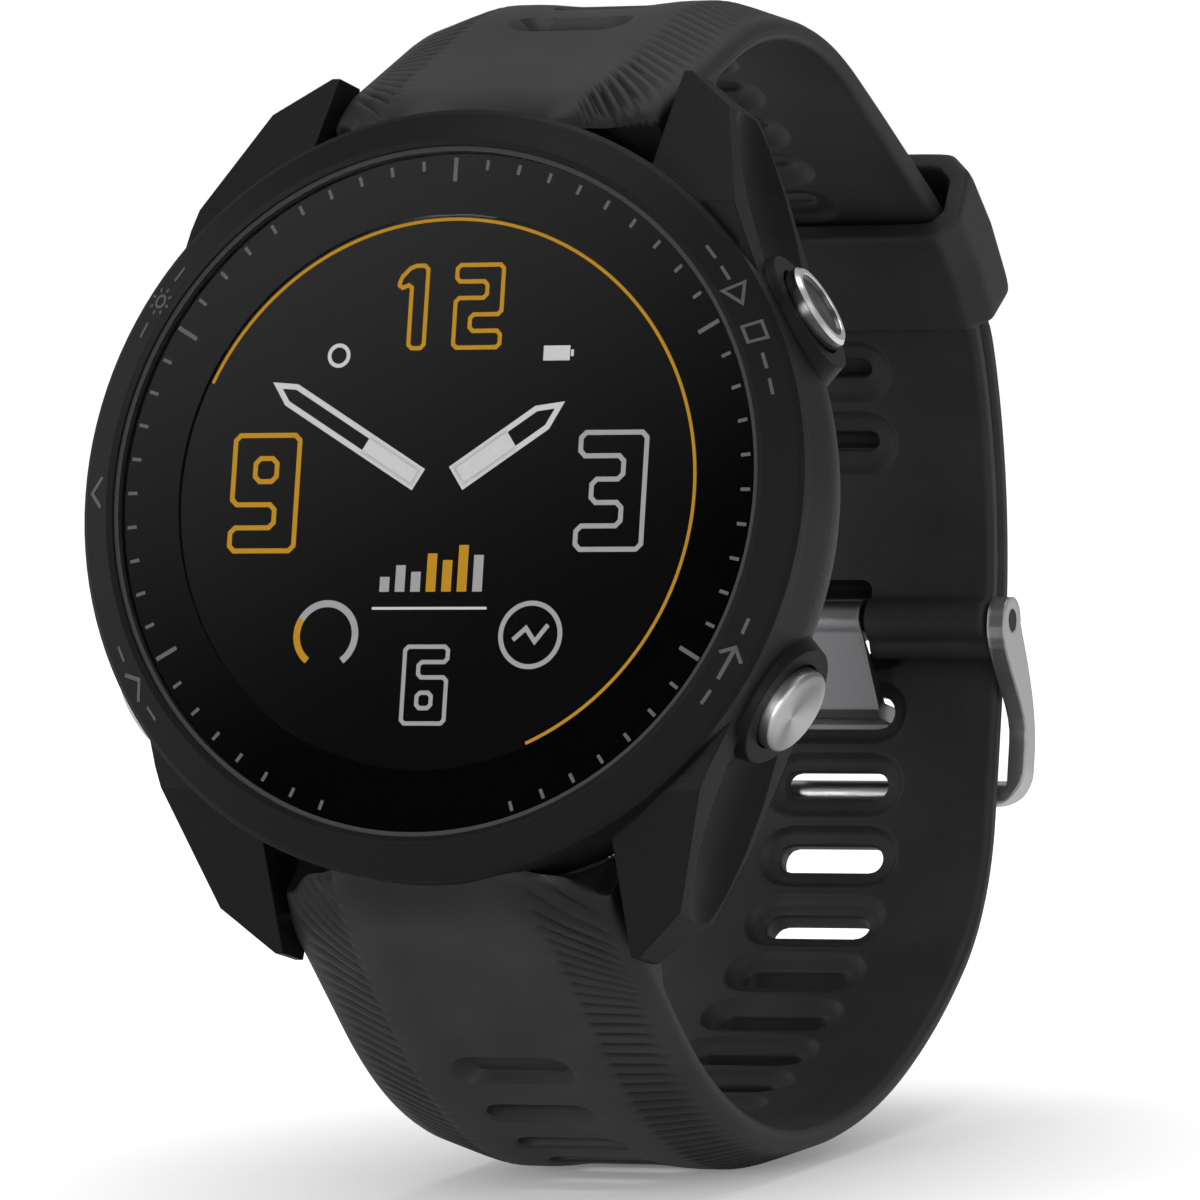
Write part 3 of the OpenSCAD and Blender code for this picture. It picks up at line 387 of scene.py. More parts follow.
WORN_BY = {
    "case_polymer": "case_body charging_port", "bezel_polymer": "bezel", "cover_glass": "lens",
    "seal_rubber": "lens_gasket rear_cover_seal button_seals", "black_print": "minute_ring",
    "screen": "display_panel", "light_guide": "backlight", "cover_polymer": "inner_chassis rear_cover",
    "circuit_board": "main_board sensor_board", "brass": "beeper antenna_ring charging_contacts",
    "tin_plate": "shield_can vibration_motor battery tactile_switches", "emitter": "sensor_emitters",
    "sensor_glass": "sensor_window", "dark_steel": "start_cap", "chrome": "start_ring",
    "sunray_disc": "start_disc", "back_satin": "back_cap", "satin_button": "light_cap up_cap down_cap",
    "satin_buckle": "buckle_frame", "satin_tongue": "buckle_tongue", "pin_steel": "buckle_pin",
}
finish_of = {name: finish for finish, names in WORN_BY.items() for name in names.split()}
for name, node in nodes.items():
    node.data.materials.clear()
    node.data.materials.append(finishes[finish_of.get(name, "steel")])
print("CAD nodes with a finish:", len(nodes))

# %% [markdown]
# A strap is a bar of silicone bent along a chain of arcs. A bevelled curve could follow them, but
# with one section all the way. In the strap's own coordinates all is simple: s runs along it, x
# across it, and n is the height above its inner face. The inner and outer faces are then two sheets
# over the same grid, and one function bends them round the loop.

# %% The path of a strap
SLOPE = 31
UPPER_PATH = [(0, 18.2), (-23.5, 48.8), (0, 14.7993), (-19.5, 44), (-34, 28.2), (0, 1.2)]
LOWER_PATH = [(0, 18.4), (30.5, 41), (46, 37), (13.8, 43), (0, 11.6916), (35.9, 28.2), (21.4, 30)]
UPPER_L, LOWER_L = 85.92, 120.85
START_DEPTH, START_HEIGHT = 1.8, 20.0


def step(r, u, h):
    """Depth, height and turn after a length u from the heading h. On an arc of radius r the heading
    turns by u / r and the point moves by r (sin h1 - sin h0, cos h0 - cos h1); 0 is straight."""
    if r == 0:
        return np.stack([u * math.cos(h), u * math.sin(h), 0 * u])
    end = h + u / r
    return np.stack([r * (np.sin(end) - math.sin(h)), r * (math.cos(h) - np.cos(end)), u / r])


def bent(s, pieces, side):
    """Depth, height and heading at each s: steps of the pieces before it, and part of its own."""
    at = np.array([START_DEPTH, -side * START_HEIGHT, -side * math.radians(SLOPE)])
    out, done = np.zeros((3, len(s))), 0.0
    for i, (r, size) in enumerate(pieces):
        length = size if r == 0 else abs(r) * math.radians(size)
        u = s - done if i == len(pieces) - 1 else np.minimum(s - done, length)
        out = np.where(u >= 0, at[:, None] + step(r, u, at[2]), out)
        at = at + step(r, length, at[2])
        done += length
    return out


def strap_points(sxn, pieces, side):
    """Strap coordinates (s, x, n) to watch coordinates: out from the path by n."""
    y, z, h = bent(sxn[..., 0], pieces, side)
    n = sxn[..., 2] * side
    return np.stack([sxn[..., 1], y + n * np.sin(h), z - n * np.cos(h)], -1)


def smooth(v, low, high):
    """0 below low, 1 above high, 3u^2 - 2u^3 between."""
    u = np.clip((v - low) / (high - low), 0, 1)
    return u * u * (3 - 2 * u)


def between(v, rise, risen, fall, fallen):
    """A smooth step up from rise to risen, times a smooth step down from fall to fallen."""
    return smooth(v, rise, risen) * (1 - smooth(v, fall, fallen))


print("end of the upper strap:", bent(np.array([UPPER_L]), UPPER_PATH, -1).ravel().round(2))

# %% [markdown]
# Across the strap, the middle is slightly dished between two crests, and the bands outside them
# slope to thin rounded edges. All that is one height n(s, x) for the outer sheet. The inner
# sheet is flat, but it fills up to the case at the spring bar, has a pocket for the bar's lever,
# and swells round the buckle pin.

# %% Heights of the two faces
EDGE_T, CREST_T, MIDDLE_T, FLAT_T, THINNER_EDGE = 1.4, 2.6, 2.38, 1.6, 0.1
DISH_X, CREST_IN, CREST_OUT, EDGE_X, HALF_W = 2.0, 5.2, 6.5, 10.45, 11.0
FALL_ROUND, FALL_SPAN = 0.12, 0.887
CASE_R, FRONT, BARREL_Y, BARREL_R = 23.5, 1.7, 5.6, 9.93
SIN_SLOPE, COS_SLOPE = math.sin(math.radians(SLOPE)), math.cos(math.radians(SLOPE))
FILL_S, RUN_OUT, RUN_OUT_S, RUN_OUT_SLOPE = (4.2, 6.2), 3.9, 8.6, 0.62
LEVER_X, LEVER_S, LEVER_DEPTH = (2.1, 2.4, 5.1, 5.4), (10.6, 10.9, 12.4, 12.7), 1.5
SLEEVE_R, SLEEVE_SINK, FAIRING, FAIRING_S = 1.45, 0.05, 0.35, (0.9, 2.3)


def outer_height(s, x, flat):
    """Middle + rise to the crests - fall to the edges, all evened out to FLAT_T along flat."""
    a = np.abs(x)
    k = smooth(s, *flat)
    middle, crest, edge = (v + (t - v) * k for v, t in (
        (MIDDLE_T, FLAT_T), (CREST_T, FLAT_T), (EDGE_T, FLAT_T - THINNER_EDGE)))
    fall = np.hypot(np.maximum((a - CREST_OUT) / (EDGE_X - CREST_OUT), 0), FALL_ROUND) - FALL_ROUND
    return middle + (crest - middle) * smooth(a, DISH_X, CREST_IN) - (crest - edge) * fall / FALL_SPAN


def to_case(s, x):
    """Height from the inner face up to the gap round the case, by steps towards its surface:
    the case is a cylinder that curves in behind BARREL_Y on an arc."""
    b = np.zeros_like(s)
    for _ in range(12):
        over = np.clip(START_DEPTH + s * COS_SLOPE + b * SIN_SLOPE - BARREL_Y, 0, BARREL_R - 1)
        r = CASE_R - BARREL_R + np.sqrt(BARREL_R**2 - over**2)
        b = (START_HEIGHT + s * SIN_SLOPE - np.sqrt(r**2 - x**2)) / COS_SLOPE
    return np.maximum(b, 0)


def inner_height(s, x, pin_s):
    """Filling up to the case with a straight run-out, less the lever's pocket, and a sleeve
    round the buckle pin that is faired into the strap."""
    fill = np.minimum(to_case(s, x), RUN_OUT - RUN_OUT_SLOPE * (s - RUN_OUT_S))
    fill = np.maximum(0, fill) * smooth(s, *FILL_S)
    lever = LEVER_DEPTH * between(x, *LEVER_X) * between(s, *LEVER_S)
    u = np.abs(s - pin_s)
    sleeve = np.sqrt(np.maximum(0, SLEEVE_R**2 - u**2)) - SLEEVE_SINK
    return lever - fill - np.maximum(sleeve, FAIRING * (1 - smooth(u, *FAIRING_S)))


print("thickness at a crest:", outer_height(5.0, 6.0, (70, 84)).round(2))

# %% [markdown]
# The bands carry slanting grooves, which fan out beside the case and lie flatter behind it. A
# grid that runs straight across would cut them into beads, so in the bands the rows themselves
# slant: each row follows the line of a groove, and the groove's profile depends only on where
# that line leaves the crest. Beside the case the lines lie further apart and cut deeper.

# %% Rows of a strap
PITCH, STEP_ROWS, SLOT_ROWS, SLOT_COLS = 4.8, 30, 10, 5
LEAD, LEAD_STEP, END_ROWS, END_R, PATTERN_S = 60, 0.21, 20, 0.7, 8.6
ROW_STEP = PITCH / STEP_ROWS
GROOVE_PITCH, GROOVE_SHARP, GROOVE_X = 6 * PITCH / STEP_ROWS, 1.6, (6.4, 6.8, 8.8, 10.4)
GROOVE_T, DEEPER, DEEPER_S = 0.2, 0.14, (5, 14)
SLANT, FAN_SLANT, FAN_S, STRAIGHTEN = 0.4, 0.95, (4, 16), 22
FAN_TURNS, FAN_FROM, FAN_FADE = 1.6, 3, 4
SHOULDER, SHOULDER_X, CORNER, CORNER_X, CORNER_POWER = 2.0, (4.5, 8.5), 3.0, (7.6, HALF_W), 1.5


def strap_rows(anchor, slots, length, tail):
    """For each row: s, the width as a share, its number, and its offset from the middle of the
    nearest slot, also in rows. LEAD rows come before the slots' pattern, END_ROWS round the end."""
    end = tail or END_R
    first = math.ceil((PATTERN_S - anchor) / ROW_STEP)
    last = math.floor((length - end - anchor) / ROW_STEP)
    number = np.arange(first - LEAD, last + 1 + END_ROWS)
    s, width = anchor + number * ROW_STEP, np.ones(len(number))
    s[:LEAD] = s[LEAD] - LEAD_STEP * np.arange(LEAD, 0, -1)
    turn = np.radians(np.linspace(0, 86 if tail else 90, END_ROWS + 1))[1:]
    s[-END_ROWS:] = length - end + end * np.sin(turn)
    width[-END_ROWS:] = np.cos(turn) if tail else 1
    offset = (number + STEP_ROWS // 2) % STEP_ROWS - STEP_ROWS // 2
    inside = np.isin((number - offset) // STEP_ROWS, slots)
    inside[:LEAD], inside[-END_ROWS:] = False, False
    return s, width, number, np.where(inside, offset, STEP_ROWS // 2)


def first_s(x, n):
    """Where a strap starts: clear of the round case, with its shoulders rounded off."""
    a = np.minimum(np.abs(x), HALF_W)
    plane = (FRONT - START_DEPTH + n * SIN_SLOPE) / COS_SLOPE
    round_case = (np.sqrt(CASE_R**2 - a**2) - START_HEIGHT - n * COS_SLOPE) / SIN_SLOPE
    shoulder = SHOULDER * smooth(a, *SHOULDER_X)
    return np.maximum(plane, round_case) + shoulder + CORNER * smooth(a, *CORNER_X) ** CORNER_POWER


def on_line(c, x, side, grooved):
    """s at x on the line that leaves the crest at c: c + distance past the crest x slant(c)."""
    slant = SLANT + FAN_SLANT * (1 - smooth(c, *FAN_S))
    slant = slant * (1 - smooth(c, grooved[1], grooved[1] + STRAIGHTEN))
    return c + side * np.sign(x) * np.maximum(np.abs(x) - CREST_OUT, 0) * slant


def line_of(s, x, side, grooved):
    """The c of the line through a point: on_line solved for c by steps."""
    c = s
    for _ in range(10):
        c = c + 0.8 * (s - on_line(c, x, side, grooved))
    return c


def grooves(c, x, anchor, grooved):
    """Depth of the grooves: a sharpened cosine of c over the pitch, in a window across the band."""
    phase = (c - anchor) / GROOVE_PITCH + FAN_TURNS * np.exp(-(c - FAN_FROM) / FAN_FADE)
    wave = (0.5 + 0.5 * np.cos(2 * math.pi * phase)) ** GROOVE_SHARP
    depth = (GROOVE_T + DEEPER * (1 - smooth(c, *DEEPER_S))) * (1 - smooth(c, *grooved))
    return depth * between(np.abs(x), *GROOVE_X) * wave


print("rows of the upper strap:", len(strap_rows(23.9, np.arange(11), UPPER_L, 0)[0]))

# %% [markdown]
# The slots go right through, except the one nearest the case, which is only a recess. Booleans
# would tear the grid, so a slot is a block of cells left out, and the columns beside it bend to
# make its rim a slot with round ends. Under the bezel, where little light gets, the outer face
# rolls down, and painted shade darkens its colour there. Painted shade also darkens the grooves
# by their depth.

# %% Faces of a strap
SLOT_HALF, SLOT_R, TONGUE_SLOT_R, OUTER_R, INNER_R = 2.7, 0.85, 1.1, 1.3, 2.15
NOTCH_HALF, NOTCH_R = 2.75, 0.8
ACROSS_COLS = SLOT_COLS, 3, 3, 12
OUTER_BEND, INNER_BEND = (4.8, CREST_OUT), (4.8, 9.0)
EDGE_DROP, INNER_DROP, UNDERCUT, RECESS = 0.5, 0.8, 4, 0.9
ROLL_L, ROLL_SHARE, FIRST_CUT = 4.5, 0.55, 0.8
START_SHADE, SHADE_S = 0.9, (0.5, 5.5)
WAIST, WAIST_S = 0.05, (4, 10)


def across(near):
    """Columns of x for each row: evenly to the slot's rim, then to the crests and the edge."""
    stops = [0 * near, near] + [0 * near + x for x in (CREST_IN, CREST_OUT, EDGE_X)]
    runs = [np.linspace(a, b, n, endpoint=False) for a, b, n in zip(stops, stops[1:], ACROSS_COLS)]
    edge = EDGE_X + (HALF_W - EDGE_X) * np.sin(np.radians([0, 30, 60, 90]))
    half = np.concatenate(runs + [np.tile(edge[:, None], (1, len(near)))]).T
    return np.concatenate([-half[:, :0:-1], half], 1)


def round_slots(offset, radius):
    """How far rows move along the strap: a slot's rows spread evenly over its rim's radius, and the
    rows between two slots share the rest of the pitch."""
    half, even = PITCH / 2, SLOT_ROWS * ROW_STEP
    left = (np.abs(offset) * ROW_STEP - even) * (half - radius) / (half - even)
    wanted = np.where(np.abs(offset) <= SLOT_ROWS, offset * radius / SLOT_ROWS,
                      np.sign(offset) * (radius + left))
    return np.where(offset < STEP_ROWS // 2, wanted - offset * ROW_STEP, 0)


def sheet(rows, side, anchor, flat, grooved, notch_s, pin_s, blind, inner):
    """One face of a strap as a grid of (s, x, n, painted shade), and which points lie past its start."""
    along, width, number, offset = rows
    radius = INNER_R if inner else OUTER_R
    rim = SLOT_HALF + np.sqrt(np.maximum(0, radius**2 - (offset * radius / SLOT_ROWS) ** 2))
    corner = np.clip((along - notch_s) / NOTCH_R, 0, 1)
    notch = NOTCH_HALF - NOTCH_R + NOTCH_R * np.sqrt(1 - (1 - corner) ** 2)
    x = across(np.where(along > notch_s, notch, rim))
    bend = 1 - smooth(np.abs(x), *(INNER_BEND if inner else OUTER_BEND))
    s = along[:, None] + round_slots(offset, radius)[:, None] * bend
    start = first_s(x, outer_height(0 * x, x, flat))
    s = np.maximum(on_line(s, x, side, grooved), start)
    past = s - start
    edge = np.clip((np.abs(x) - EDGE_X) / (HALF_W - EDGE_X), 0, 1)
    drop = EDGE_DROP * (1 - np.sqrt(1 - edge**2))
    if inner:
        s += (first_s(x, 0 * x) - start) * (1 - smooth(past, 0, UNDERCUT))
        n, shade = inner_height(s, x, pin_s) + INNER_DROP * drop, 0 * s
    else:
        roll = 1 - np.clip(past / ROLL_L, 0, 1)
        cut = grooves(line_of(s, x, side, grooved), x, anchor, grooved) * smooth(past, 0, FIRST_CUT)
        n = (outer_height(s, x, flat) - cut - drop) * (1 - ROLL_SHARE * (1 - np.sqrt(1 - roll**2)))
        sunk = (np.abs(offset) < SLOT_ROWS) & (number - offset == blind * STEP_ROWS)
        n[sunk, x.shape[1] // 2 - SLOT_COLS + 1:x.shape[1] // 2 + SLOT_COLS] -= RECESS
        # painted shade: the colour darkens with the groove's depth and near the start under the bezel
        shade = np.minimum(1, cut / GROOVE_T + START_SHADE * (1 - smooth(past, *SHADE_S)))
    waist = 1 - WAIST * (1 - smooth(s, *WAIST_S))
    return np.stack([s, x * width[:, None] * waist, n, shade], -1), past > 0


print("columns across a strap:", across(np.array([SLOT_HALF])).shape[1])

# %% [markdown]
# A slot's outer rim is wider than its throat, for a rounded edge, and its inner rim is the mouth of
# the shallow pocket round it. Loops of points between the two make the wall. The throat is narrow,
# but the slot that holds the tongue keeps the width it needs. The same loops, evenly spaced, close
# the strap's edges and ends.

# %% A strap with slots
# Each loop: distance from the throat, height above the inner face, or depth below the outer rim.
WALL = [(0.22, None, 0.03), (0.06, None, 0.15), (0.0, 0.85, 0), (0.02, 0.66, 0), (0.14, 0.53, 0),
        (0.62, 0.5, 0), (0.96, 0.34, 0), (1.2, 0.06, 0)]
UPPER_THROAT, LEAST_END = 0.55, 0.02
BEFORE, BEYOND = -99, 999  # values that no strap reaches


def open_edges(kept, corner):
    """Pairs of points on the sides of kept cells that have no kept cell beside them."""
    around = np.pad(kept, 1)
    beside = [around[:-2, 1:-1], around[1:-1, 2:], around[2:, 1:-1], around[1:-1, :-2]]
    return np.concatenate([corner[kept & ~other][:, [i, (i + 1) % 4]] for i, other in enumerate(beside)])


def wall_loops(top, bottom, spine, in_slot, throat, least):
    """Loops from the outer rim to the inner one: in a slot, out from its spine by WALL, and
    elsewhere on straight lines between the two."""
    away = top[:, :2] - spine
    away /= np.maximum(np.hypot(away[:, 0], away[:, 1]), 1e-9)[:, None]
    spread = (INNER_R - throat) / (INNER_R - SLOT_R)
    loops = []
    for k, (out, n, sink) in enumerate(WALL):
        height = top[:, 2] - sink if n is None else np.full(len(top), n)
        at = spine + away * np.maximum(throat + out * spread, least)[:, None]
        plain = top + (bottom - top) * (k + 1) / (len(WALL) + 1)
        loops.append(np.where(in_slot[:, None], np.column_stack([at, height, 0 * height]), plain))
    return loops


def strap(name, pieces, side, anchor, slots, length, flat, grooved, throat, tail=0, notch_s=BEYOND,
          pin_s=BEFORE, blind=BEFORE, tongue_slot=BEFORE):
    """Two sheets over one grid, less the blocks of the slots and of the tongue's notch, with walls of
    loops between their rims. throat is a slot's half width inside, tail the radius of a round free
    end, blind the slot that is only a recess, and tongue_slot the one that holds the tongue."""
    rows = strap_rows(anchor, slots, length, tail)
    along, _, number, offset = rows
    (outer, there), (inner, _) = (
        sheet(rows, side, anchor, flat, grooved, notch_s, pin_s, blind, i) for i in (False, True))
    near_end = np.clip((along - length) / END_R + 1, 0, 1)
    thin = np.sqrt(np.maximum(LEAST_END, 1 - near_end**2))[:, None]
    middle = (outer[..., 2] + inner[..., 2]) / 2
    for face in (outer, inner):
        face[..., 2] = middle + (face[..., 2] - middle) * thin
    count, cols = outer.shape[:2]
    slot_cols = slice(cols // 2 - SLOT_COLS, cols // 2 + SLOT_COLS)
    kept = there[:-1, :-1] | there[:-1, 1:] | there[1:, :-1] | there[1:, 1:]
    through = (np.abs(offset + 0.5) < SLOT_ROWS) & (number - offset != blind * STEP_ROWS)
    kept[:, slot_cols] &= ~(through | (along > notch_s))[:-1, None]
    corner = quads(count, cols).reshape(count - 1, cols - 1, 4)
    rims = open_edges(kept, corner)
    rim, place_in_rim = np.unique(rims, return_inverse=True)
    place_in_rim = place_in_rim.reshape(rims.shape)
    row, col = np.divmod(rim, cols)
    top, bottom = outer.reshape(-1, 4)[rim], inner.reshape(-1, 4)[rim]
    in_slot = (np.abs(offset[row]) <= SLOT_ROWS) & (np.abs(col - cols // 2) <= SLOT_COLS)
    slot_row = (number - offset)[row]
    spine = np.stack([anchor + slot_row * PITCH / STEP_ROWS, np.clip(top[:, 1], -SLOT_HALF, SLOT_HALF)], -1)
    least = np.where(slot_row == tongue_slot * STEP_ROWS, TONGUE_SLOT_R, throat)
    loops = wall_loops(top, bottom, spine, in_slot, throat, least)
    total = count * cols
    levels = [rims] + [2 * total + k * len(rim) + place_in_rim for k in range(len(WALL))] + [rims + total]
    walls = [np.stack([a[:, 1], a[:, 0], b[:, 0], b[:, 1]], -1) for a, b in zip(levels, levels[1:])]
    cells = corner[kept]
    points = np.concatenate([outer.reshape(-1, 4), inner.reshape(-1, 4)] + loops)
    faces = np.concatenate([cells, cells[:, ::-1] + total] + walls)
    piece("soft_" + name, strap_points(points, pieces, side), faces, "watch", "silicone",
          [name], 50, points[:, 3])


strap("upper_strap", UPPER_PATH, side=-1, anchor=23.9, slots=np.arange(-1, 11), length=UPPER_L,
      flat=(28.7, 45.3), grooved=(30, 44), throat=UPPER_THROAT, notch_s=80.85, pin_s=83.52, blind=-1)
strap("lower_strap", LOWER_PATH, side=1, anchor=87.4793, slots=np.arange(-14, 5), length=LOWER_L,
      flat=(70.1, 84.6), grooved=(44, 62), throat=SLOT_R, tail=9.17, blind=-14, tongue_slot=0)

# %% [markdown]
# The keeper is a loop of the same silicone, bent to the strap under it. Its surface is a closed
# band: u runs round the loop, which is a rectangle with cut corners, and v runs round the band's
# own cross-section, whose edges are rounded. A bent box would need its seams mended.

# %% The keeper
KEEPER_AT, KEEPER_MID, KEEPER_SPAN = (44.8175, 8.5147), 54.7, 27.0
KEEPER_IN, KEEPER_OUT, KEEPER_WALL, KEEPER_HALF = 19.2, 23.3, 1.3, 11.3
INNER_CUT, OUTER_CUT, PER_SIDE, ROUNDINGS, BAND_COLS = 0.9, 1.5, 16, 4, 64
THICK_POWER, WIDE_POWER = 0.35, 0.12


def soft_rectangle(low, high, half, cut):
    """A rectangle in (r, x) with chamfered corners and points shared evenly by side. Each point then
    becomes the mean of its neighbours and itself, a few times over, which rounds the corners."""
    corners = np.array([[low, -half + cut], [low + cut, -half], [high - cut, -half], [high, -half + cut],
                        [high, half - cut], [high - cut, half], [low + cut, half], [low, half - cut]])
    following = np.roll(corners, -1, 0)
    u = np.linspace(0, 1, PER_SIDE, endpoint=False)[None, :, None]
    loop = (corners[:, None] + (following - corners)[:, None] * u).reshape(-1, 2)
    for _ in range(ROUNDINGS):
        loop = (np.roll(loop, 1, 0) + 2 * loop + np.roll(loop, -1, 0)) / 4
    return loop


def squared(w, power):
    """|w| to a power below 1, with the sign of w: a circle's coordinates become a rounded box's."""
    return np.sign(w) * np.abs(w) ** power


def keeper():
    """P(u, v) = inner loop + (outer loop - inner loop) h(v), at the angle a(v) about the bend."""
    inside, outside = (soft_rectangle(KEEPER_IN - wall, KEEPER_OUT + wall, KEEPER_HALF + wall, cut)
                       for wall, cut in ((0, INNER_CUT), (KEEPER_WALL, OUTER_CUT)))
    v = np.linspace(0, 2 * math.pi, BAND_COLS, endpoint=False)
    h, a = 0.5 + 0.5 * squared(np.sin(v), THICK_POWER), squared(np.cos(v), WIDE_POWER)
    ring = inside[:, None] + (outside - inside)[:, None] * h[None, :, None]
    turn = np.radians(KEEPER_MID + a * KEEPER_SPAN / 2)[None, :]
    depth, height = KEEPER_AT[0] + ring[..., 0] * np.cos(turn), KEEPER_AT[1] + ring[..., 0] * np.sin(turn)
    points = np.stack([ring[..., 1], depth, height], -1)
    faces = quads(len(inside), len(v), True)
    piece("soft_keeper", points, faces, "keeper", "silicone", ["keeper_loop"], 50)


keeper()

# %% [markdown]
# The minute marks are printed on the ring under the glass, and the screen shows a plain dial of
# its own: two hands, numbers for four of the hours, an arc and a few small gauges. The printed
# minute marks glow faintly like the screen, a painted light. Plates stay sharp at any size, which
# a picture would not. Each mark is a ribbon along a line or a row of boxes, a fiftieth of a
# millimetre thick.

# %% Flat marks
PRINT_T, RING_FRONT, SCREEN_FRONT, RING_GAP = 0.02, 0.84, 1.04, 0.005
SHORT_TICK, LONG_TICK = (19.5, 20.1), (18.75, 20.2)


def plates(outlines, depth):
    """Thin closed plates from four-cornered outlines (count, 4, 2) in (x, z), on a face whose
    depth is a function of the radius."""
    outlines = np.asarray(outlines, float)
    front = np.insert(outlines, 1, depth(np.hypot(outlines[..., 0], outlines[..., 1])), -1)
    points = np.concatenate([front, front + [0, PRINT_T, 0]], 1)
    sides = np.array([[0, 1, 2, 3], [7, 6, 5, 4], [0, 4, 5, 1], [1, 5, 6, 2], [2, 6, 7, 3], [3, 7, 4, 0]])
    faces = (np.arange(len(outlines))[:, None, None] * 8 + sides[None]).reshape(-1, 4)
    return points.reshape(-1, 3), faces


def ribbon(line, width, closed=False):
    """Quads along a line: each point is moved both ways along the mitre of its two edges."""
    line = np.asarray(line, float)
    edge = np.roll(line, -1, 0) - line
    n2 = np.stack([-edge[:, 1], edge[:, 0]], -1) / np.maximum(np.hypot(*edge.T), 1e-9)[:, None]
    n1 = np.roll(n2, 1, 0)
    if not closed:
        n1[0], n2[-1] = n2[0], n1[-1]
    mitre = (n1 + n2) / np.maximum(1 + (n1 * n2).sum(1), 0.3)[:, None]
    left, right = line + mitre * width / 2, line - mitre * width / 2
    now = np.arange(len(line) - (not closed))
    nxt = (now + 1) % len(line)
    return np.stack([left[now], left[nxt], right[nxt], right[now]], 1)


def clock(minutes, radius):
    """The point at a minute of the hour and a radius, as (x, z): r (sin, cos) of 6 degrees each."""
    a = np.asarray(minutes) * math.pi / 30
    return np.stack([radius * np.sin(a), radius * np.cos(a)], -1)


def arc(from_min, to_min, radius, count=90):
    """Points evenly spaced on a circle from one minute to another."""
    return clock(np.linspace(from_min, to_min, count), radius)


def ring(radius, count):
    """A full circle, less its last point, which would repeat the first."""
    return arc(0, 60, radius, count)[:-1]


def tick(minute, radii, width):
    """A line outwards at a minute, between two radii."""
    return ribbon(clock([minute, minute], np.array(radii)), width)


def marks(name, strips, depth, finish):
    """One object from several lists of outlines; depth is a number or a function of the radius."""
    points, faces = plates(np.concatenate(strips), depth if callable(depth) else lambda r: 0 * r + depth)
    piece(name, points, faces, "watch", finish, (), 20)


def glowing(name, colour, strength):
    """Light from the screen, or a painted glow on printed marks: an even glow, a little uneven from pixel to
    pixel.
    """
    finish = Finish(name, colour, 0.5, Emission_Color=(*colour, 1), Emission_Strength=strength,
                    Specular_IOR_Level=0.1)
    finish.surface(Roughness=0.4 + finish.noise(0.3) * 0.2)


# painted light: the printed minute marks glow, though print gives no light
glowing("tick_grey_painted_glow", (0.08, 0.08, 0.082), 0.35)
short = [tick(m, SHORT_TICK, 0.21) for m in range(60) if m % 10 and not 27 < m < 33]
long = [tick(h, LONG_TICK, 0.26) for h in (0, 10, 20, 40, 50)]
marks("minute_marks", short + long, RING_FRONT - PRINT_T - RING_GAP, "tick_grey_painted_glow")

# %% [markdown]
# The numbers are outlines of block figures, each drawn once as the corners of a polygon on a grid
# of three by five units and closed by a ribbon. A font would bring shapes of its own. Hands are
# long plates with a slit.

# %% The screen
FIGURES = {
    "1": [[(1, 0), (2, 0), (2, 5), (1, 5), (0.2, 4.2), (0.2, 3.6), (1, 3.9)]],
    "2": [[(0, 0), (3, 0), (3, 1), (1, 1), (1, 2), (3, 2), (3, 5), (0, 5), (0, 4), (2, 4), (2, 3), (0, 3)]],
    "3": [[(0, 0), (3, 0), (3, 5), (0, 5), (0, 4), (2, 4), (2, 3), (0.6, 3), (0.6, 2), (2, 2), (2, 1), (0, 1)]],
    "6": [[(0, 0), (3, 0), (3, 3), (1, 3), (1, 4), (3, 4), (3, 5), (0, 5)], [(1, 1), (2, 1), (2, 2), (1, 2)]],
    "9": [[(0, 0), (3, 0), (3, 5), (0, 5), (0, 2), (2, 2), (2, 1), (0, 1)], [(1, 3), (2, 3), (2, 4), (1, 4)]],
}
FIGURE_W, FIGURE_H, FIGURE_GAP, FIGURE_CUT = 3, 5, 0.9, 0.22
HAND_LINE, HAND_ROOT, HAND_BACK = 0.34, 4, 1.6
GAUGE_R, GAUGE_LEFT, GAUGE_RIGHT = 1.9, (-6.6, -8.6), (6.6, -8.6)
CORNERS = np.array([(-1, -1), (1, -1), (1, 1), (-1, 1)])
BAR_HEIGHTS = 0.9, 1.6, 1.2, 2.3, 1.9, 2.8, 2.2


def trimmed(corners):
    """Cuts each corner of a polygon by a short chamfer."""
    p = np.asarray(corners, float)
    pull = lambda q: (q - p) / np.hypot(*(q - p).T)[:, None] * FIGURE_CUT
    return np.stack([p + pull(np.roll(p, 1, 0)), p + pull(np.roll(p, -1, 0))], 1).reshape(-1, 2)


def figures(text, at, height, width=0.26):
    """Outlined block figures centred at a point."""
    unit = height / FIGURE_H
    wide = len(text) * FIGURE_W + (len(text) - 1) * FIGURE_GAP
    strips = []
    for i, figure in enumerate(text):
        corner = [i * (FIGURE_W + FIGURE_GAP) - wide / 2, -FIGURE_H / 2]
        strips += [ribbon((trimmed(loop) + corner) * unit + at, width, True) for loop in FIGURES[figure]]
    return strips


def hand(minute, reach, wide):
    """A baton hand: two sides, a pointed tip and a solid root."""
    axes = clock([minute, minute + 15], 1.0)
    back, side, neck, root = HAND_BACK, wide / 2, reach - wide, HAND_BACK + HAND_ROOT
    rim = np.array([[back, -side], [neck, -side], [reach, 0], [neck, side], [back, side]]) @ axes
    solid = np.array([[back, -side], [root, -side], [root, side], [back, side]]) @ axes
    return [ribbon(rim, HAND_LINE, True), solid[None]]


def box(x, z, w, h):
    """A rectangle about a point: x plus or minus w / 2, z plus or minus h / 2."""
    return [x, z] + CORNERS[None] * [w / 2, h / 2]


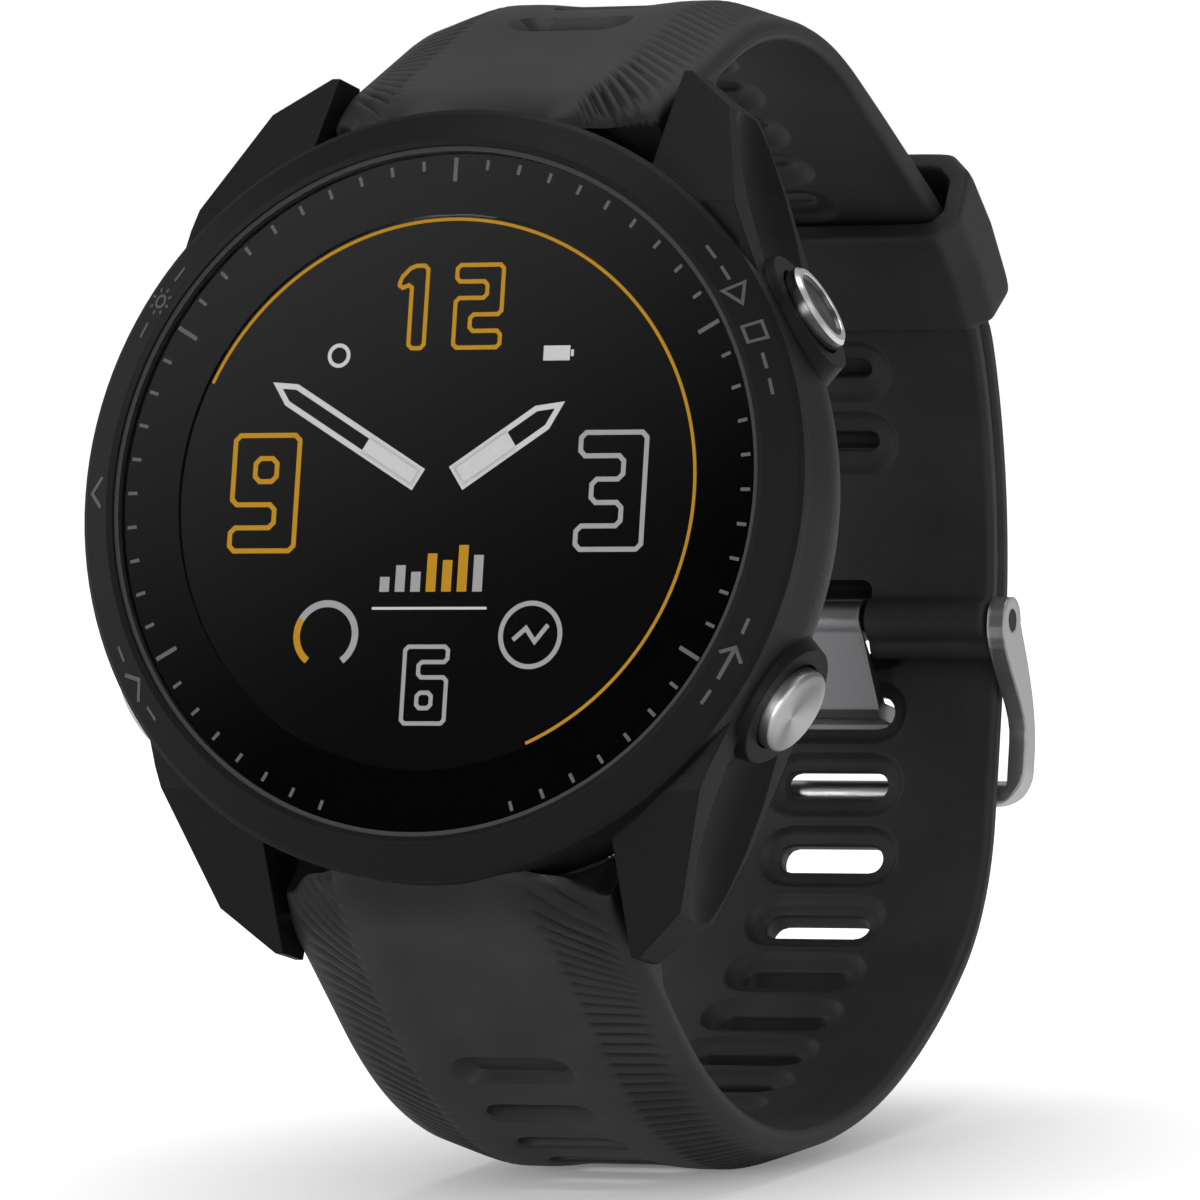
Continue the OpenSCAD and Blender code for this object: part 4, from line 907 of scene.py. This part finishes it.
glowing("screen_amber", (0.30, 0.15, 0.006), 0.5)
glowing("screen_pale", (0.335, 0.335, 0.335), 0.6)
glowing("screen_grey", (0.19, 0.19, 0.195), 0.65)
bars = [box(-3.0 + i, -6.0 + h / 2, 0.62, h) for i, h in enumerate(BAR_HEIGHTS)]

amber_strips = [ribbon(arc(-11, 26, 16.5), 0.2)]
amber_strips += figures("12", (0, 11.2), 5.0) + figures("9", (-11.2, 0.0), 7.0, 0.3)
amber_strips += bars[3:6] + [ribbon(arc(36, 50, GAUGE_R, 24) + GAUGE_LEFT, 0.42)]
pale_strips = hand(50.2, 12.6, 1.15) + hand(9.3, 9.2, 1.35)
pale_strips += [box(0, -7.0, 7.4, 0.16), box(7.2, 8.3, 1.7, 0.9), box(8.2, 8.3, 0.18, 0.4)]
pale_strips += [ribbon(ring(0.62, 32) + [-6.9, 8.3], 0.24, True)]
grey_strips = figures("3", (11.2, 0.0), 7.0, 0.3) + figures("6", (0, -11.6), 4.6) + bars[:3] + bars[6:]
grey_strips += [ribbon(arc(50, 84, GAUGE_R, 40) + GAUGE_LEFT, 0.42),
                ribbon(ring(GAUGE_R, 48) + GAUGE_RIGHT, 0.30, True),
                ribbon([[5.5, -8.9], [6.3, -8.2], [6.9, -9.0], [7.7, -8.0]], 0.28)]
marks("screen_amber_marks", amber_strips, SCREEN_FRONT - PRINT_T - 0.004, "screen_amber")
marks("screen_pale_marks", pale_strips, SCREEN_FRONT - 3 * PRINT_T, "screen_pale")
marks("screen_grey_marks", grey_strips, SCREEN_FRONT - PRINT_T - 0.002, "screen_grey")

# %% [markdown]
# Beside each button the bezel's slope has a small printed sign: a triangle and a square to start and
# stop, an arrow back, two chevrons for up and down, and a sun for the light. Each is drawn flat,
# with one axis along the rim and one across it, and then wrapped round the bezel.

# %% Signs on the bezel
SIGN_R, SIGN_SIZE, FACE_R, FACE_W, FACE_DROP = 22.02, 1.25, 21.15, 1.8, 1.15
START_AT, BACK_AT, DOWN_AT, UP_AT, LIGHT_AT = 62, 118, 238, 270, 302
DASH_SIZE = 0.8, 0.15


def round_bezel(outlines, degrees):
    """(along, across) in mm to (x, z): along turns about the dial, across changes the radius."""
    outlines = np.asarray(outlines, float) * SIGN_SIZE
    a = math.radians(degrees) + outlines[..., 0] / SIGN_R
    r = SIGN_R + outlines[..., 1]
    return np.stack([r * np.sin(a), r * np.cos(a)], -1)


def on_bezel(r):
    """Depth of the bezel's cone at a radius, just above it."""
    return (r - FACE_R) * FACE_DROP / FACE_W - 2 * PRINT_T


sun = [ribbon(ring(0.30, 25), 0.14, True)] + [tick(m, (0.5, 0.72), 0.13) for m in np.arange(0, 60, 7.5)]
triangle = ribbon([[-0.5, -0.5], [-0.5, 0.5], [0.45, 0.0]], 0.15, True)
square = ribbon([[-0.42, -0.42], [-0.42, 0.42], [0.42, 0.42], [0.42, -0.42]], 0.15, True)
chevron = ribbon([[-0.75, -0.3], [0, 0.38], [0.75, -0.3]], 0.2)
arrow = [ribbon([[0.9, 0], [-0.75, 0]], 0.17), ribbon([[-0.25, -0.5], [-0.8, 0], [-0.25, 0.5]], 0.17)]
signs = [round_bezel(triangle + [-1.1, 0], START_AT), round_bezel(square + [0.9, 0], START_AT)]
signs += [round_bezel(part, BACK_AT) for part in arrow] + [round_bezel(part, LIGHT_AT) for part in sun]
signs += [round_bezel(chevron, UP_AT), round_bezel(chevron * [1, -1], DOWN_AT)]
dashes = {START_AT: (2.4, 3.7), BACK_AT: (1.9,), LIGHT_AT: (1.6,), DOWN_AT: (1.7,)}
signs += [round_bezel(box(side * at, 0, *DASH_SIZE), turn)
          for turn, places in dashes.items() for at in places for side in (-1, 1)]
plain_detail("sign_grey", (0.07, 0.07, 0.072), 0.5, 0.0, 0.5, 0.002)
marks("bezel_signs", signs, on_bezel, "sign_grey")

# %% [markdown]
# The stage is a pale floor under soft studio light: a big lamp overhead, one at each side, and a
# low one in front for the strap below the dial. The camera sees floor and world as white, also
# through glass, except that the floor's glow fades out towards the watch, a painted shadow round
# it. Gloss shows a third of that, and dull surfaces are lit by a quarter of the world and by none
# of the floor's glow, so that the blacks stay black.

# %% Floor and light
SEEN = {"Camera": 1.0, "Transmission": 1.0, "Glossy": 0.35}
DIFFUSE_SHARE = 0.25
FLOOR_HALF, PAINTED_SHADOW_FADE, FLOOR_GLOW = 4, (-0.01, 0.06), 0.8
LAMPS = {  # place and size in metres, power in watts
    "overhead": ((0.02, 0.08, 0.72), (0.45, 0.5), 1.4),
    "left": ((-0.70, -0.15, 0.25), (0.6, 0.6), 0.9),
    "front": ((-0.10, -0.85, 0.10), (0.6, 0.3), 4.7),
    "right": ((0.60, -0.48, 0.33), (0.7, 0.7), 1.5),
}
LAMPS_AIM = Vector((0, 0, 0.03))
scene = bpy.context.scene
scene.view_settings.view_transform = "Standard"


def stage_plane(name, middle, side, up):
    """A rectangle: the middle, plus or minus a vector aside and one up."""
    mesh = bpy.data.meshes.new(name)
    mesh.from_pydata([tuple(middle + a * side + b * up) for a, b in CORNERS], [], [(0, 1, 2, 3)])
    mesh.materials.append(finishes[name])
    plane = bpy.data.objects.new(name, mesh)
    scene.collection.objects.link(plane)
    return plane


def faded(finish, value, low, high, most, kind="LINEAR"):
    """0 below low, most above high, and a slope between."""
    return finish.node("ShaderNodeMapRange", {"interpolation_type": kind}, {
        "Value": value, "From Min": low, "From Max": high, "To Min": 0.0, "To Max": most})


floor = Finish("floor", (0.8, 0.8, 0.8), 0.7, Emission_Strength=1.0)
from_watch = floor.vector("LENGTH", floor.spot(), output="Value")
# painted shadow: the floor's glow is low at the watch and rises with the distance from it
floor.surface(Emission_Color=floor.rays(SEEN) * faded(floor, from_watch, *PAINTED_SHADOW_FADE, FLOOR_GLOW))
stage_plane("floor", np.zeros(3), *FLOOR_HALF * np.eye(3)[:2])

world = bpy.data.worlds.new("studio")
world.use_nodes = True
scene.world = world
sky = Graph(world.node_tree)
level = sky.rays({**SEEN, "Diffuse": DIFFUSE_SHARE})
sky.feed(sky.tree.nodes["Background"], {"Color": (1, 1, 1, 1), "Strength": level})

for name, (at, size, power) in LAMPS.items():
    light = bpy.data.lights.new(name, "AREA")
    light.shape, light.size, light.size_y, light.energy = "RECTANGLE", *size, power
    lamp = bpy.data.objects.new(name, light)
    scene.collection.objects.link(lamp)
    lamp.location = at
    lamp.rotation_mode = "QUATERNION"
    lamp.rotation_quaternion = (Vector(at) - LAMPS_AIM).to_track_quat("Z", "Y")
print("lamps:", len(LAMPS))

# %% [markdown]
# The camera's place was worked out from the ring of minute marks, which shows as an ellipse. A
# polished glass shows what stands in front of it, so a card with a gradient stands where the
# dial's reflection looks. Only reflections see it.

# %% Camera and card
RIGHT = np.array([0.9235, 0.3823, -0.0333])
UP = np.array([0.0024, 0.0809, 0.9967])
FORWARD = np.array([-0.3837, 0.9205, -0.0738])
CAMERA_AT, FOCAL_MM, SENSOR_MM = (0.2455, -0.5936, 0.0828), 310.8, 36
CARD_AWAY, CARD_HALF, CARD_FADE, CARD_GLOW = 0.45, 0.075, (-0.012, 0.05), 0.85

camera = bpy.data.objects.new("camera", bpy.data.cameras.new("camera"))
scene.collection.objects.link(camera)
pose = np.eye(4)
pose[:3, :3] = np.stack([RIGHT, UP, -FORWARD], 1)
pose[:3, 3] = CAMERA_AT
camera.matrix_world = Matrix(pose.tolist())
camera.data.sensor_width, camera.data.lens, camera.data.clip_start = SENSOR_MM, FOCAL_MM, 0.01
scene.camera = camera

facing = leaned([0, -1, 0])
mirror = FORWARD - 2 * (FORWARD @ facing) * facing
card_at = place([0, 0, 0]) + CARD_AWAY * mirror
card_side = np.cross(mirror, (0, 0, 1))
card_side /= np.linalg.norm(card_side)
card_up = np.cross(card_side, mirror)
brighter = card_up * 0.8 - np.array([1.0, 0, 0]) * 0.6
gradient = Finish("gradient_card", (0, 0, 0), 1.0, Emission_Strength=1.0)
arm = gradient.vector("SUBTRACT", gradient.spot(), tuple(card_at))
along = gradient.vector("DOT_PRODUCT", arm, tuple(brighter), output="Value")
gradient.surface(Emission_Color=faded(gradient, along, *CARD_FADE, CARD_GLOW, "SMOOTHSTEP"))
card = stage_plane("gradient_card", card_at, CARD_HALF * card_side, CARD_HALF * card_up)
card.visible_camera = card.visible_diffuse = card.visible_shadow = False
print("camera at", CAMERA_AT, "card at", card_at.round(3))
